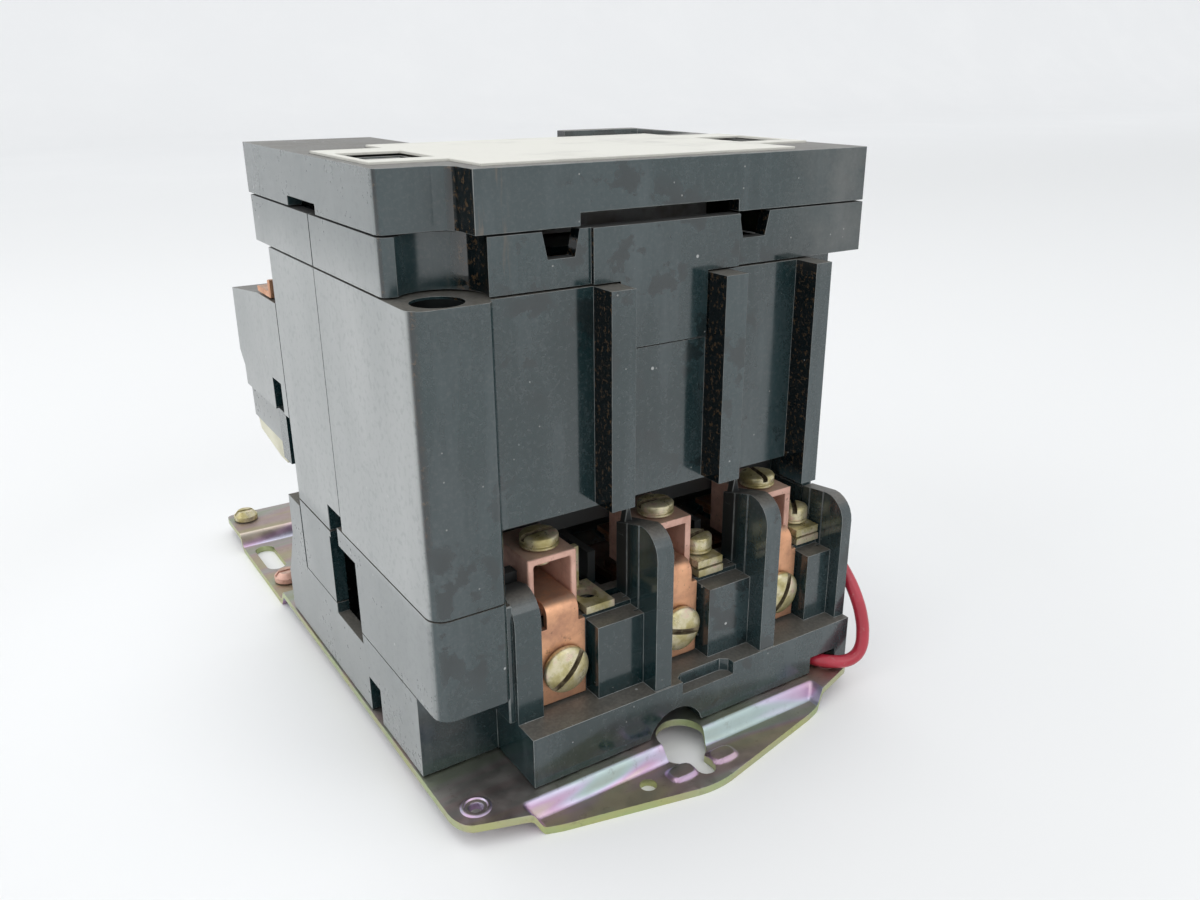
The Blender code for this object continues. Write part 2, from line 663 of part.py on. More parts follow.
def magnet_seat():
    x = MIDDLE_POLE_X
    inside = CAVITY_REACH - GAP
    body = block(LEFT + WALL + GAP, RIGHT - WALL - GAP, front(inside), rear(inside), SPRING_SEAT_Z, 66.0)
    hole = CORE_HALF_WIDTH + GAP
    cut = block(x - hole, x + hole, front(20.8), rear(20.8), SPRING_SEAT_Z - 1, 67)
    return node("magnet_seat", "insulating_plastic", body, (), [cut])


def armature_pin():
    body = rod((MIDDLE_POLE_X, 49.5), 1.7, front(14.2), rear(14.2), "Y", 16)
    return smooth(node("armature_pin", "zinc_steel", body))


# Moving contacts.
STATIONARY_TIP_FACE = 32.6
BRIDGE_LOW = 25.2
BRIDGE_THICKNESS = 1.5
TIP_HEIGHT = 1.5
TIP_REACH = 16.4
WINDOW_HALF = 4.9
WINDOW_FLOOR = 14.0
CARRIER_HALF_DEPTH = 6.0
CARRIER_FOOT = 11.0


def contact_carrier():
    x = MIDDLE_POLE_X
    left = POLES[0] - 8.5
    right = POLES[2] + 8.5
    half = CARRIER_HALF_DEPTH
    body = block(left, right, front(half), rear(half), CARRIER_FOOT, CARRIER_TOP)
    cheek = 14.0
    added = [
        block(x - 9, x + 9, front(cheek), rear(cheek), 39.0, CARRIER_TOP),
        block(x - 6, x + 6, front(cheek), front(CORE_HALF_DEPTH + GAP), 39.0, 53.0),
        block(x - 6, x + 6, rear(CORE_HALF_DEPTH + GAP), rear(cheek), 39.0, 53.0),
        block(x - SPRING_OFFSET - 5, x + SPRING_OFFSET + 3.2, front(half), rear(half), 39.0, CARRIER_TOP),
        block(-41.2, x - SPRING_OFFSET, front(half), rear(half), 39.0, CARRIER_TOP),
        block(-41.2, -37.2, rear(half) - 1, 12.3, 40.2, CARRIER_TOP),
    ]
    cuts = [rod((x, 49.5), 2.0, front(15), rear(15), "Y", 16)]
    for pole in POLES:
        window_top = BRIDGE_LOW + BRIDGE_THICKNESS + GAP
        left, right = pole - WINDOW_HALF, pole + WINDOW_HALF
        cuts.append(block(left, right, front(half + 1), rear(half + 1), WINDOW_FLOOR, window_top))
    return node("contact_carrier", "insulating_plastic", body, added, cuts)


def contact_bridge(index, x):
    body = block(x - 4.0, x + 4.0, front(20.0), rear(20.0), BRIDGE_LOW, BRIDGE_LOW + BRIDGE_THICKNESS)
    top = BRIDGE_LOW + BRIDGE_THICKNESS
    tips = [
        rod((x, front(TIP_REACH)), 3.0, top - 0.2, top + TIP_HEIGHT, sides=16),
        rod((x, rear(TIP_REACH)), 3.0, top - 0.2, top + TIP_HEIGHT, sides=16),
    ]
    return node(f"contact_bridge_{index}", "copper", body, tips)


def coil_spring(name, x, y, low, high, radius, wire, turns):
    """A wire helix along Z, swept ring by ring and closed at both ends."""
    per_turn = 10
    sides = 5
    steps = turns * per_turn
    points = []
    faces = []
    for step in range(steps + 1):
        angle = 2 * math.pi * step / per_turn
        height = low + wire / 2 + (high - low - wire) * step / steps
        for side in range(sides):
            around = 2 * math.pi * side / sides
            reach = radius + wire / 2 * math.cos(around)
            z = height + wire / 2 * math.sin(around)
            points.append((x + reach * math.cos(angle), y + reach * math.sin(angle), z))
    for step in range(steps):
        for side in range(sides):
            following = (side + 1) % sides
            a = step * sides
            b = a + sides
            faces.append((a + side, a + following, b + following, b + side))
    faces.append(tuple(range(sides)))
    faces.append(tuple(range(steps * sides, (steps + 1) * sides)))
    return smooth(node(name, "spring_steel", (points, faces)))


def springs():
    for index, x in enumerate(POLES, 1):
        low = WINDOW_FLOOR + GAP
        coil_spring(f"contact_spring_{index}", x, BODY_MIDDLE_Y, low, BRIDGE_LOW - GAP, 3.3, 0.9, 4)
    for name, x in (("left", MIDDLE_POLE_X - SPRING_OFFSET), ("right", MIDDLE_POLE_X + SPRING_OFFSET)):
        low = CARRIER_TOP + GAP
        coil_spring(f"return_spring_{name}", x, BODY_MIDDLE_Y, low, SPRING_SEAT_Z - GAP, 2.3, 0.8, 7)


# Terminals of one pole: strap, box lug and screws.
STRAP_HALF = 4.55
NECK_HALF = 3.25
SHOULDER_Z = 30.6
STRAP_LOW = 33.8
STRAP_HIGH = STRAP_LOW + STRAP_THICKNESS
LUG_HALF = 4.95
LUG_WALL = 1.3
LUG_LOW = 31.4
LUG_HIGH = 42.9
LUG_REACH = 33.4
LUG_BACK_REACH = 20.3
LUG_SCREW_REACH = 28.7


def y_block(side, x0, x1, reach0, reach1, z0, z1):
    """A block whose depth is given as distances from the middle plane."""
    low, high = sorted((side(reach0), side(reach1)))
    return block(x0, x1, low, high, z0, z1)


def terminal_strap(name, x, side):
    """Copper strap: a wide upright leg, a bend, and a narrow bar that carries the fixed contact."""
    outer = STRAP_REACH
    inner = outer - STRAP_THICKNESS
    bend = 2.4
    corner = arc((side(outer - bend), STRAP_HIGH - bend), bend, 0, 90, 5)
    if side is front:
        corner = arc((side(outer - bend), STRAP_HIGH - bend), bend, 180, 90, 5)
    inner_corner = [(side(inner), STRAP_LOW - bend + STRAP_THICKNESS), (side(inner - 1.1), STRAP_LOW)]
    profile = [(side(outer), 28.0)] + corner + [(side(13.0), STRAP_HIGH), (side(13.0), STRAP_LOW)]
    profile += inner_corner[::-1] + [(side(inner), 28.0)]
    body = prism(profile, x - NECK_HALF, x + NECK_HALF, "X")
    added = [
        y_block(side, x - STRAP_HALF, x + STRAP_HALF, inner, outer, 15.3, SHOULDER_Z),
        rod((x, side(TIP_REACH)), 3.0, STATIONARY_TIP_FACE, STRAP_LOW + 0.2, sides=16),
    ]
    low, high = sorted((side(34.5), side(37.5)))
    cut = rod((x, STRAP_SCREW_Z), 2.5, low, high, "Y", 16)
    return node(name, "copper", body, added, [cut])


def box_lug(name, x, side):
    """Copper cage round the strap's narrow bar; the open mouth takes the wire."""
    body = y_block(side, x - LUG_HALF, x + LUG_HALF, LUG_REACH, LUG_BACK_REACH, LUG_LOW, LUG_HIGH)
    inner = LUG_HALF - LUG_WALL
    cuts = [
        y_block(side, x - inner, x + inner, 40, 15, LUG_LOW + 2.1, LUG_HIGH - 1.4),
        rod((x, side(LUG_SCREW_REACH)), 2.4, LUG_HIGH - 3, LUG_HIGH + 1, sides=16),
    ]
    return node(name, "lug_copper", body, (), cuts)


def slotted_head(x, y, low, height, radius, sides=20):
    """Head of a screw along Z: flat skirt and a slightly coned crown."""
    return [
        rod((x, y), radius, low, low + height * 0.6, sides=sides),
        cone_frustum((x, y), radius, radius * 0.82, low + height * 0.6 - 0.02, low + height, sides),
    ]


def lug_screw(name, x, side):
    y = side(LUG_SCREW_REACH)
    low = LUG_HIGH + GAP
    height = 2.5
    shank = rod((x, y), 2.1, 39.6, low + 0.5, sides=16)
    head = slotted_head(x, y, low, height, 3.5)
    slot = block(x - 5, x + 5, y - 0.5, y + 0.5, low + 1.2, low + height + 1)
    return smooth(node(name, "zinc_steel", shank, head, [slot], origin=(x, y, low)))


def strap_screw(name, x):
    """Binding-head screw that holds the front strap against its wall."""
    y_head = front(STRAP_REACH) - GAP
    body = rod((x, STRAP_SCREW_Z), 2.2, y_head - 0.5, front(31.9), "Y", 16)
    head = [
        rod((x, STRAP_SCREW_Z), 4.45, y_head - 1.5, y_head, "Y", 24),
        rod((x, STRAP_SCREW_Z), 3.6, y_head - 2.2, y_head - 1.4, "Y", 24),
    ]
    slope = math.radians(52)
    across = (math.cos(slope), math.sin(slope))
    side = (-across[1], across[0])
    outline = []
    for along, wide in ((-6, -0.5), (6, -0.5), (6, 0.5), (-6, 0.5)):
        from_axis = (along * across[0] + wide * side[0], along * across[1] + wide * side[1])
        outline.append((x + from_axis[0], STRAP_SCREW_Z + from_axis[1]))
    slot = prism(outline, y_head - 4, y_head - 1.0, "Y")
    return smooth(node(name, "zinc_steel", body, head, [slot], origin=(x, y_head, STRAP_SCREW_Z)))


TAP_LEFT = 5.25
TAP_RIGHT = 11.2
TAP_LOW = 30.6
TAP_THICKNESS = 1.4
TAP_HOLE_X = 8.3
TAP_HOLE_REACH = 31.2


def tap_plate(index, x):
    """L-shaped plate beside each lug, with the threaded hole of the small clamp."""
    body = y_block(front, x + TAP_LEFT, x + TAP_RIGHT, 35.9, 26.4, TAP_LOW, TAP_LOW + TAP_THICKNESS)
    upright = y_block(front, x + TAP_LEFT, x + TAP_LEFT + 3.4, 27.8, 26.4, TAP_LOW, 40.0)
    hole = rod((x + TAP_HOLE_X, front(TAP_HOLE_REACH)), 1.9, TAP_LOW - 1, TAP_LOW + 3, sides=16)
    return node(f"tap_plate_{index}", "zinc_steel", body, [upright], [hole])


def saddle_clamp(index, x):
    low = TAP_LOW + TAP_THICKNESS + GAP
    body = y_block(front, x + TAP_LEFT, x + TAP_RIGHT, 35.7, 28.2, low, low + 1.5)
    hole = rod((x + TAP_HOLE_X, front(TAP_HOLE_REACH)), 1.9, low - 1, low + 3, sides=16)
    return node(f"saddle_clamp_{index}", "zinc_steel", body, (), [hole])


def saddle_screw(index, x):
    y = front(TAP_HOLE_REACH)
    low = TAP_LOW + TAP_THICKNESS + 1.5 + 2 * GAP
    height = 3.4
    screw_x = x + TAP_HOLE_X
    shank = rod((screw_x, y), 1.55, TAP_LOW + 0.1, low + 0.4, sides=14)
    head = slotted_head(screw_x, y, low, height, 2.9, 18)
    slot = block(screw_x - 5, screw_x + 5, y - 0.45, y + 0.45, low + height - 1.2, low + height + 1)
    return smooth(node(f"saddle_screw_{index}", "zinc_steel", shank, head, [slot], origin=(screw_x, y, low)))


def terminals():
    for index, x in enumerate(POLES, 1):
        for label, side in (("load", front), ("line", rear)):
            terminal_strap(f"{label}_strap_{index}", x, side)
            box_lug(f"{label}_lug_{index}", x, side)
            lug_screw(f"{label}_lug_screw_{index}", x, side)
        strap_screw(f"load_strap_screw_{index}", x)
        tap_plate(index, x)
        if index > 1:
            saddle_clamp(index, x)
            saddle_screw(index, x)


def corner_screw():
    x = COLUMN_HOLE_X
    y = COLUMN_HOLE_Y
    shank = rod((x, y), 2.0, 25.0, 46.8, sides=16)
    head = rod((x, y), 3.4, 46.0 + GAP, 49.5, sides=20)
    slot = block(x - 5, x + 5, y - 0.5, y + 0.5, 48.3, 51)
    return smooth(node("corner_screw", "zinc_steel", shank, [head], [slot], origin=(x, y, 46.3)))


def plate_screws():
    """Pan-head screws on the plate: two on the rear strip and the earth screw on the low floor."""
    rows = (
        ("strip_screw_left", "zinc_steel", SCREW_X_LEFT, STRIP_SCREW_Y, PLATE_STEP),
        ("strip_screw_right", "zinc_steel", SCREW_X_RIGHT, STRIP_SCREW_Y, PLATE_STEP),
        ("earth_screw", "lug_copper", GROUND_SCREW_X, GROUND_SCREW_Y, 0.0),
    )
    for name, finish, x, y, under in rows:
        low = under + PLATE_THICKNESS + GAP
        shank = rod((x, y), 1.5, under + 0.1, low + 0.4, sides=14)
        head = [
            rod((x, y), 3.1, low, low + 1.2, sides=20),
            cone_frustum((x, y), 3.1, 2.0, low + 1.18, low + 2.4, 20),
        ]
        slot = block(x - 5, x + 5, y - 0.45, y + 0.45, low + 1.3, low + 4)
        smooth(node(name, finish, shank, head, [slot], origin=(x, y, low)))


# Auxiliary contact block behind the left rear corner.
AUX_LEFT = LEFT
AUX_RIGHT = -32.4
AUX_FRONT = MID_REAR_Y + GAP
AUX_SLOT = (7.6, 13.4)


def aux_block():
    outline = [
        (AUX_FRONT, 55.0), (AUX_FRONT, 78.6), (17.0, 78.6), (37.8, 76.2), (38.3, 62.0),
        (35.6, 59.0), (35.3, 47.2), (AUX_SLOT[1] + 0.1, 46.6), (AUX_SLOT[1] + 0.1, 55.0),
    ]
    channel = block(AUX_LEFT - 1, -36.4, AUX_SLOT[0], AUX_SLOT[1], 50.0, 61.5)
    lower_face = block(AUX_LEFT - 1, AUX_LEFT + 0.8, AUX_SLOT[1] - 1, 37.0, 45.0, 54.6)
    body = prism(outline, AUX_LEFT, AUX_RIGHT, "X")
    return node("aux_block", "dark_plastic", body, (), [channel, lower_face])


def aux_plunger():
    low = CARRIER_TOP + GAP
    body = block(AUX_LEFT + 0.3, -36.8, AUX_SLOT[0] + GAP, AUX_SLOT[1] - GAP, low, 55.0)
    return node("aux_plunger", "insulating_plastic", body)


def aux_foot():
    outline = [(14.6, 46.3), (35.0, 46.9), (33.5, 44.0), (19.0, 41.6), (14.6, 41.6)]
    return node("aux_foot", "cream_plastic", prism(outline, AUX_LEFT + 1.2, AUX_RIGHT - 0.5, "X"))


def aux_terminal():
    body = block(AUX_LEFT + 0.2, -36.5, 8.0, 17.0, 78.9, 80.1)
    upright = block(AUX_LEFT + 0.2, -36.5, 8.0, 9.2, 79.0, 82.5)
    return node("aux_terminal", "copper", body, [upright])


# Coil lead: leaves the right side wall, loops past the front corner and goes under the base.
LEAD_RADIUS = 1.35
LEAD_ROUTE = [
    (43.4, -44.0, 33.0), (46.0, -44.6, 32.9), (47.0, -49.0, 31.3), (47.1, -55.0, 28.6),
    (47.4, -61.0, 24.6), (47.7, -66.0, 19.4), (47.6, -69.2, 13.2), (46.0, -70.6, 8.2),
    (42.8, -70.2, 6.4), (39.4, -68.0, 6.25), (37.4, -65.0, 6.25), (37.2, -61.8, 6.25),
]
LEAD_POINTS = 20


def curve_point(points, place):
    """A point on the Catmull-Rom curve through the route; place runs from 0 to 1."""
    spans = len(points) - 1
    position = min(place * spans, spans - 1e-6)
    index = int(position)
    t = position - index
    p0 = Vector(points[max(index - 1, 0)])
    p1 = Vector(points[index])
    p2 = Vector(points[index + 1])
    p3 = Vector(points[min(index + 2, spans)])
    bend = 2 * p0 - 5 * p1 + 4 * p2 - p3
    swing = 3 * (p1 - p2) + p3 - p0
    return 0.5 * (2 * p1 + (p2 - p0) * t + bend * t * t + swing * t * t * t)


def coil_lead():
    data = bpy.data.curves.new("coil_lead", "CURVE")
    data.dimensions = "3D"
    data.bevel_depth = LEAD_RADIUS * MM
    data.bevel_resolution = 2
    data.use_fill_caps = True
    spline = data.splines.new("POLY")
    spline.points.add(LEAD_POINTS - 1)
    for index in range(LEAD_POINTS):
        place = curve_point(LEAD_ROUTE, index / (LEAD_POINTS - 1)) * MM
        spline.points[index].co = (*place, 1.0)
    item = bpy.data.objects.new("coil_lead", data)
    data.materials.append(material("red_insulation"))
    bpy.context.collection.objects.link(item)
    item.parent = FRAME
    return item


def build():
    mounting_plate()
    base_housing()
    contact_frame()
    mid_housing_front()
    mid_housing_rear()
    upper_housing()
    top_cover()
    label_plate()
    magnet_core()
    coil_bobbin()
    coil_winding()
    magnet_seat()
    armature()
    armature_pin()
    contact_carrier()
    for index, x in enumerate(POLES, 1):
        contact_bridge(index, x)
    springs()
    terminals()
    corner_screw()
    plate_screws()
    aux_block()
    aux_plunger()
    aux_foot()
    aux_terminal()
    coil_lead()


build()
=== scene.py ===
"""Looks of the panel contactor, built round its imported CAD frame. Sizes here are in millimetres."""

import math

import bmesh
import bpy
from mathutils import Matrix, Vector


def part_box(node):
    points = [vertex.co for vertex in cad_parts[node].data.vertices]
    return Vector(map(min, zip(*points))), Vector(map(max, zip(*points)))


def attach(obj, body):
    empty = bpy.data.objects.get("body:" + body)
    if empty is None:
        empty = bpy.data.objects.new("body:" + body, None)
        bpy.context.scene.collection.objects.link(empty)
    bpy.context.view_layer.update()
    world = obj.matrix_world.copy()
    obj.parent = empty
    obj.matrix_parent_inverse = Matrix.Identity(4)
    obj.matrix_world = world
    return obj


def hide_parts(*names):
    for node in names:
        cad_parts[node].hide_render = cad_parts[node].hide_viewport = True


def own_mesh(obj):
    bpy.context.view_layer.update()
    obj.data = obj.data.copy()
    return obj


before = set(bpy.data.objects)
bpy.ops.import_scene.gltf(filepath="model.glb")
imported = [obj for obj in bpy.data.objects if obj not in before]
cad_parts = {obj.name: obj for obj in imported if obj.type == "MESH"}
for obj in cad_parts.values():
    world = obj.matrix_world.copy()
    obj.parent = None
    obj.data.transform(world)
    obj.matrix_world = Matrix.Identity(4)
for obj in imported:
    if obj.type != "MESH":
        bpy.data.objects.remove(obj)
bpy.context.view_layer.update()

MM = 0.001
POLES = (1, 2, 3)


def low(node):
    """Lowest corner of a CAD node, in millimetres."""
    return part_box(node)[0] / MM


def high(node):
    """Highest corner of a CAD node, in millimetres."""
    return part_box(node)[1] / MM


def middle(node):
    """Middle of a CAD node's box, in millimetres."""
    return (low(node) + high(node)) / 2


# The body's own middle in the row frame; the CAD's X numbers start from it
PLATE_X = middle("mounting_plate").x


# Camera and light


def look_camera():
    data = bpy.data.cameras.new("camera")
    data.sensor_width = 36
    data.lens = 30.24
    data.shift_x = -0.0127
    data.shift_y = 0.0110
    data.clip_start = 0.01
    camera = bpy.data.objects.new("camera", data)
    camera.location = (-0.09930, -0.19376, 0.12115)
    camera.rotation_euler = (math.radians(68.63), 0, math.radians(-33.67))
    bpy.context.scene.collection.objects.link(camera)
    bpy.context.scene.camera = camera


def soft_light(name, place, aim, size, power):
    data = bpy.data.lights.new(name, "AREA")
    data.shape = "RECTANGLE"
    data.size, data.size_y = size
    data.energy = power
    light = bpy.data.objects.new(name, data)
    light.location = place
    light.rotation_euler = (Vector(aim) - Vector(place)).to_track_quat("-Z", "Y").to_euler()
    bpy.context.scene.collection.objects.link(light)


def studio():
    world = bpy.data.worlds.new("studio")
    world.use_nodes = True
    background = world.node_tree.nodes["Background"]
    background.inputs["Color"].default_value = (0.97, 0.985, 1.0, 1)
    background.inputs["Strength"].default_value = 1.02
    bpy.context.scene.world = world
    soft_light("overhead", (-0.15, 0.25, 0.80), (0, 0, 0.05), (0.6, 0.6), 1.2)
    soft_light("front_fill", (0.15, -0.85, 0.60), (0, -0.25, 0), (0.8, 0.5), 1.1)
    soft_light("window", (-0.80, 0.05, 0.45), (0, 0, 0.05), (0.6, 0.6), 1.2)
    bpy.context.scene.view_settings.view_transform = "Standard"


def sweep():
    """A pale table that curves up into the backdrop far behind."""
    shell = bmesh.new()
    width, near, far, rise, bend, steps = 7.0, -2.5, 2.4, 3.0, 0.6, 12
    profile = [(near, 0), (far - bend, 0)]
    for step in range(1, steps + 1):
        angle = math.radians(90 * step / steps)
        profile.append((far - bend + bend * math.sin(angle), bend - bend * math.cos(angle)))
    profile.append((far, rise))
    rows = []
    for y, z in profile:
        rows.append([shell.verts.new((x, y, z)) for x in (-width, width)])
    for a, b in zip(rows, rows[1:]):
        shell.faces.new((a[0], a[1], b[1], b[0]))
    data = bpy.data.meshes.new("table")
    shell.to_mesh(data)
    shell.free()
    data.shade_smooth()
    table = bpy.data.objects.new("table", data)
    table.data.materials.append(table_surface())
    bpy.context.scene.collection.objects.link(table)


# Materials


class Recipe:
    """A material built from nodes. Places are metres in the object's own frame."""

    def __init__(self, name, metallic=0.0):
        self.material = bpy.data.materials.new(name)
        self.material.use_nodes = True
        self.tree = self.material.node_tree
        self.shader = self.tree.nodes["Principled BSDF"]
        self.shader.inputs["Metallic"].default_value = metallic
        coordinates = self.node("ShaderNodeTexCoord")
        self.place = coordinates.outputs["Object"]
        self.x, self.y, self.z = self.split(self.place)
        self.facing_x, self.facing_y, self.facing_z = self.split(coordinates.outputs["Normal"])

    def node(self, kind, **settings):
        made = self.tree.nodes.new(kind)
        for key, value in settings.items():
            setattr(made, key, value)
        return made

    def put(self, socket, value):
        if isinstance(value, bpy.types.NodeSocket):
            self.tree.links.new(value, socket)
        elif isinstance(value, tuple) and len(value) == 3 and socket.type == "RGBA":
            socket.default_value = (*value, 1)
        else:
            socket.default_value = value

    def split(self, source):
        made = self.node("ShaderNodeSeparateXYZ")
        self.put(made.inputs[0], source)
        return made.outputs[0], made.outputs[1], made.outputs[2]

    def math(self, operation, a, b=0.0, clamp=False):
        made = self.node("ShaderNodeMath", operation=operation, use_clamp=clamp)
        self.put(made.inputs[0], a)
        self.put(made.inputs[1], b)
        return made.outputs[0]

    def times(self, a, b):
        return self.math("MULTIPLY", a, b)

    def plus(self, a, b):
        return self.math("ADD", a, b, clamp=True)

    def step(self, source, start, end, first=0.0, last=1.0):
        """Rises smoothly from first to last while source goes from start to end."""
        made = self.node("ShaderNodeMapRange", interpolation_type="SMOOTHSTEP")
        for socket, value in zip(made.inputs[:5], (source, start, end, first, last)):
            self.put(socket, value)
        return made.outputs[0]

    def stretched(self, scale):
        made = self.node("ShaderNodeMapping")
        self.put(made.inputs["Vector"], self.place)
        made.inputs["Scale"].default_value = scale
        return made.outputs[0]

    def noise(self, scale, detail=4.0, roughness=0.55, stretch=None, distortion=0.0):
        made = self.node("ShaderNodeTexNoise")
        self.put(made.inputs["Vector"], self.stretched(stretch) if stretch else self.place)
        made.inputs["Scale"].default_value = scale
        made.inputs["Detail"].default_value = detail
        made.inputs["Roughness"].default_value = roughness
        made.inputs["Distortion"].default_value = distortion
        return made.outputs[0]

    def specks(self, scale, radius, share=0.5):
        """Round dots in some of the cells of a grid."""
        cells = self.node("ShaderNodeTexVoronoi")
        self.put(cells.inputs["Vector"], self.place)
        cells.inputs["Scale"].default_value = scale
        dot = self.step(cells.outputs["Distance"], radius, radius * 0.55)
        chosen = self.math("LESS_THAN", self.split(cells.outputs["Color"])[0], share)
        return self.times(dot, chosen)

    def mix(self, factor, first, second):
        made = self.node("ShaderNodeMix", data_type="RGBA")
        self.put(made.inputs[0], factor)
        self.put(made.inputs[6], first)
        self.put(made.inputs[7], second)
        return made.outputs[2]

    def ramp(self, source, *stops):
        """Colours by value; each stop is a position and its colour."""
        made = self.node("ShaderNodeValToRGB")
        elements = made.color_ramp.elements
        while len(elements) < len(stops):
            elements.new(0.5)
        for element, (position, colour) in zip(elements, stops):
            element.position = position
            element.color = (*colour, 1)
        self.put(made.inputs[0], source)
        return made.outputs[0]

    def bump(self, height, distance_mm, strength=1.0, before=None):
        made = self.node("ShaderNodeBump")
        self.put(made.inputs["Height"], height)
        made.inputs["Distance"].default_value = distance_mm * MM
        made.inputs["Strength"].default_value = strength
        if before is not None:
            self.put(made.inputs["Normal"], before)
        return made.outputs[0]

    def without(self, mask):
        """Everything that a mask leaves out."""
        return self.math("SUBTRACT", 1.0, mask, clamp=True)

    def finish(self, colour, roughness, normal=None):
        self.put(self.shader.inputs["Base Color"], colour)
        self.put(self.shader.inputs["Roughness"], roughness)
        if normal is not None:
            self.put(self.shader.inputs["Normal"], normal)
        return self.material


def table_surface():
    """Off-white board, a little greyer away from the object and white again at the backdrop."""
    r = Recipe("table_surface")
    marks = r.step(r.noise(5, 5, 0.6), 0.40, 0.75)
    colour = r.mix(marks, (0.875, 0.878, 0.882), (0.892, 0.894, 0.896))
    reach = r.math("SQRT", r.plus(r.times(r.x, r.x), r.times(r.y, r.y)))
    around = r.times(r.step(r.y, 1.4, 0.5), r.step(reach, 0.075, 0.145))
    colour = r.mix(around, colour, (0.800, 0.803, 0.803))
    return r.finish(colour, 0.6)


# Heights on the moulding where its looks change
SHELF_WALL_TOP = 38
RIB_FOOT = 46
UPPER_SEAM = 88
COVER_SEAM = 99.5
BODY_LEFT = low("base_housing").x


def band(r, source, start, end):
    """1 between two places and 0 outside them; each is (where nothing is left, where it is full)."""
    begun, ended = [r.step(source, first * MM, last * MM) for first, last in (start, end)]
    return r.times(begun, ended)


def left_side(r):
    """The outermost faces that look left."""
    outermost = r.step(r.x, (BODY_LEFT + 1.6) * MM, (BODY_LEFT + 0.5) * MM)
    return r.times(r.step(r.facing_x, -0.80, -0.97), outermost)


def grey_film(r, left, dust):
    """Dry dust that dulls the left side, thinner on the cover and on the base."""
    streaks = r.step(r.noise(40, 6, 0.65, stretch=(1.0, 1.0, 0.25)), 0.25, 0.75, 0.70, 1.0)
    pores = r.step(r.noise(850, 3, 0.6), 0.50, 0.68, 1.0, 0.74)
    film = r.times(r.times(left, pores), r.times(streaks, 0.86 * dust))
    film = r.times(film, r.step(r.z, UPPER_SEAM * MM, COVER_SEAM * MM, 1.0, 0.48))
    return r.times(film, r.step(r.z, SHELF_WALL_TOP * MM, (SHELF_WALL_TOP + 3) * MM, 0.60, 1.0))


def rib_cheeks(r, left):
    """The left faces of the ribs, which see only other dark faces."""
    cheek = r.times(r.step(r.facing_x, -0.5, -0.9), r.without(left))
    return r.times(cheek, r.step(r.z, RIB_FOOT * MM, (RIB_FOOT + 6) * MM))


def corner_drips(r, dust):
    """Brown runs down the stepped corner of the cover."""
    corner = band(r, r.x, (-36.5, -34.5), (-29.0, -31.0))
    above = r.step(r.z, UPPER_SEAM * MM, (UPPER_SEAM + 4) * MM)
    corner = r.times(r.times(corner, above), r.step(r.facing_y, -0.2, -0.6))
    runs = r.step(r.noise(420, 4, 0.6, stretch=(1.0, 1.0, 0.10)), 0.50, 0.66)
    return r.times(corner, r.times(runs, 0.55 * dust))


def wet_stains(r, dust):
    """Dark blots on the front faces."""
    blots = r.times(r.step(r.noise(150, 4, 0.6), 0.54, 0.60), r.step(r.noise(22, 2, 0.5), 0.50, 0.58))
    return r.times(r.times(blots, r.step(r.facing_y, -0.6, -0.9)), 0.75 * dust)


def pole_hollow(r):
    """The space behind the terminals, where no light reaches."""
    hollow = band(r, r.y, (-60.5, -57.0), (12.0, 9.0))
    hollow = r.times(hollow, band(r, r.z, (29, 33), (54, 51.5)))
    return r.times(hollow, band(r, r.x, (-44, -42), (41, 39)))


def notch_floors(r, ledge):
    """The floors of the notches under the cover."""
    return r.times(r.times(band(r, r.z, (92.0, 93.5), (99.2, 98.8)), ledge), 0.9)


def tired_end(r, dust):
    """The scuffed right end of the cover."""
    above = r.step(r.z, (UPPER_SEAM - 2) * MM, (UPPER_SEAM + 4) * MM)
    end = r.times(r.step(r.x, 20 * MM, 36 * MM), above)
    return r.times(r.times(end, r.step(r.noise(70, 5, 0.65), 0.30, 0.62, 0.10, 0.40)), dust)


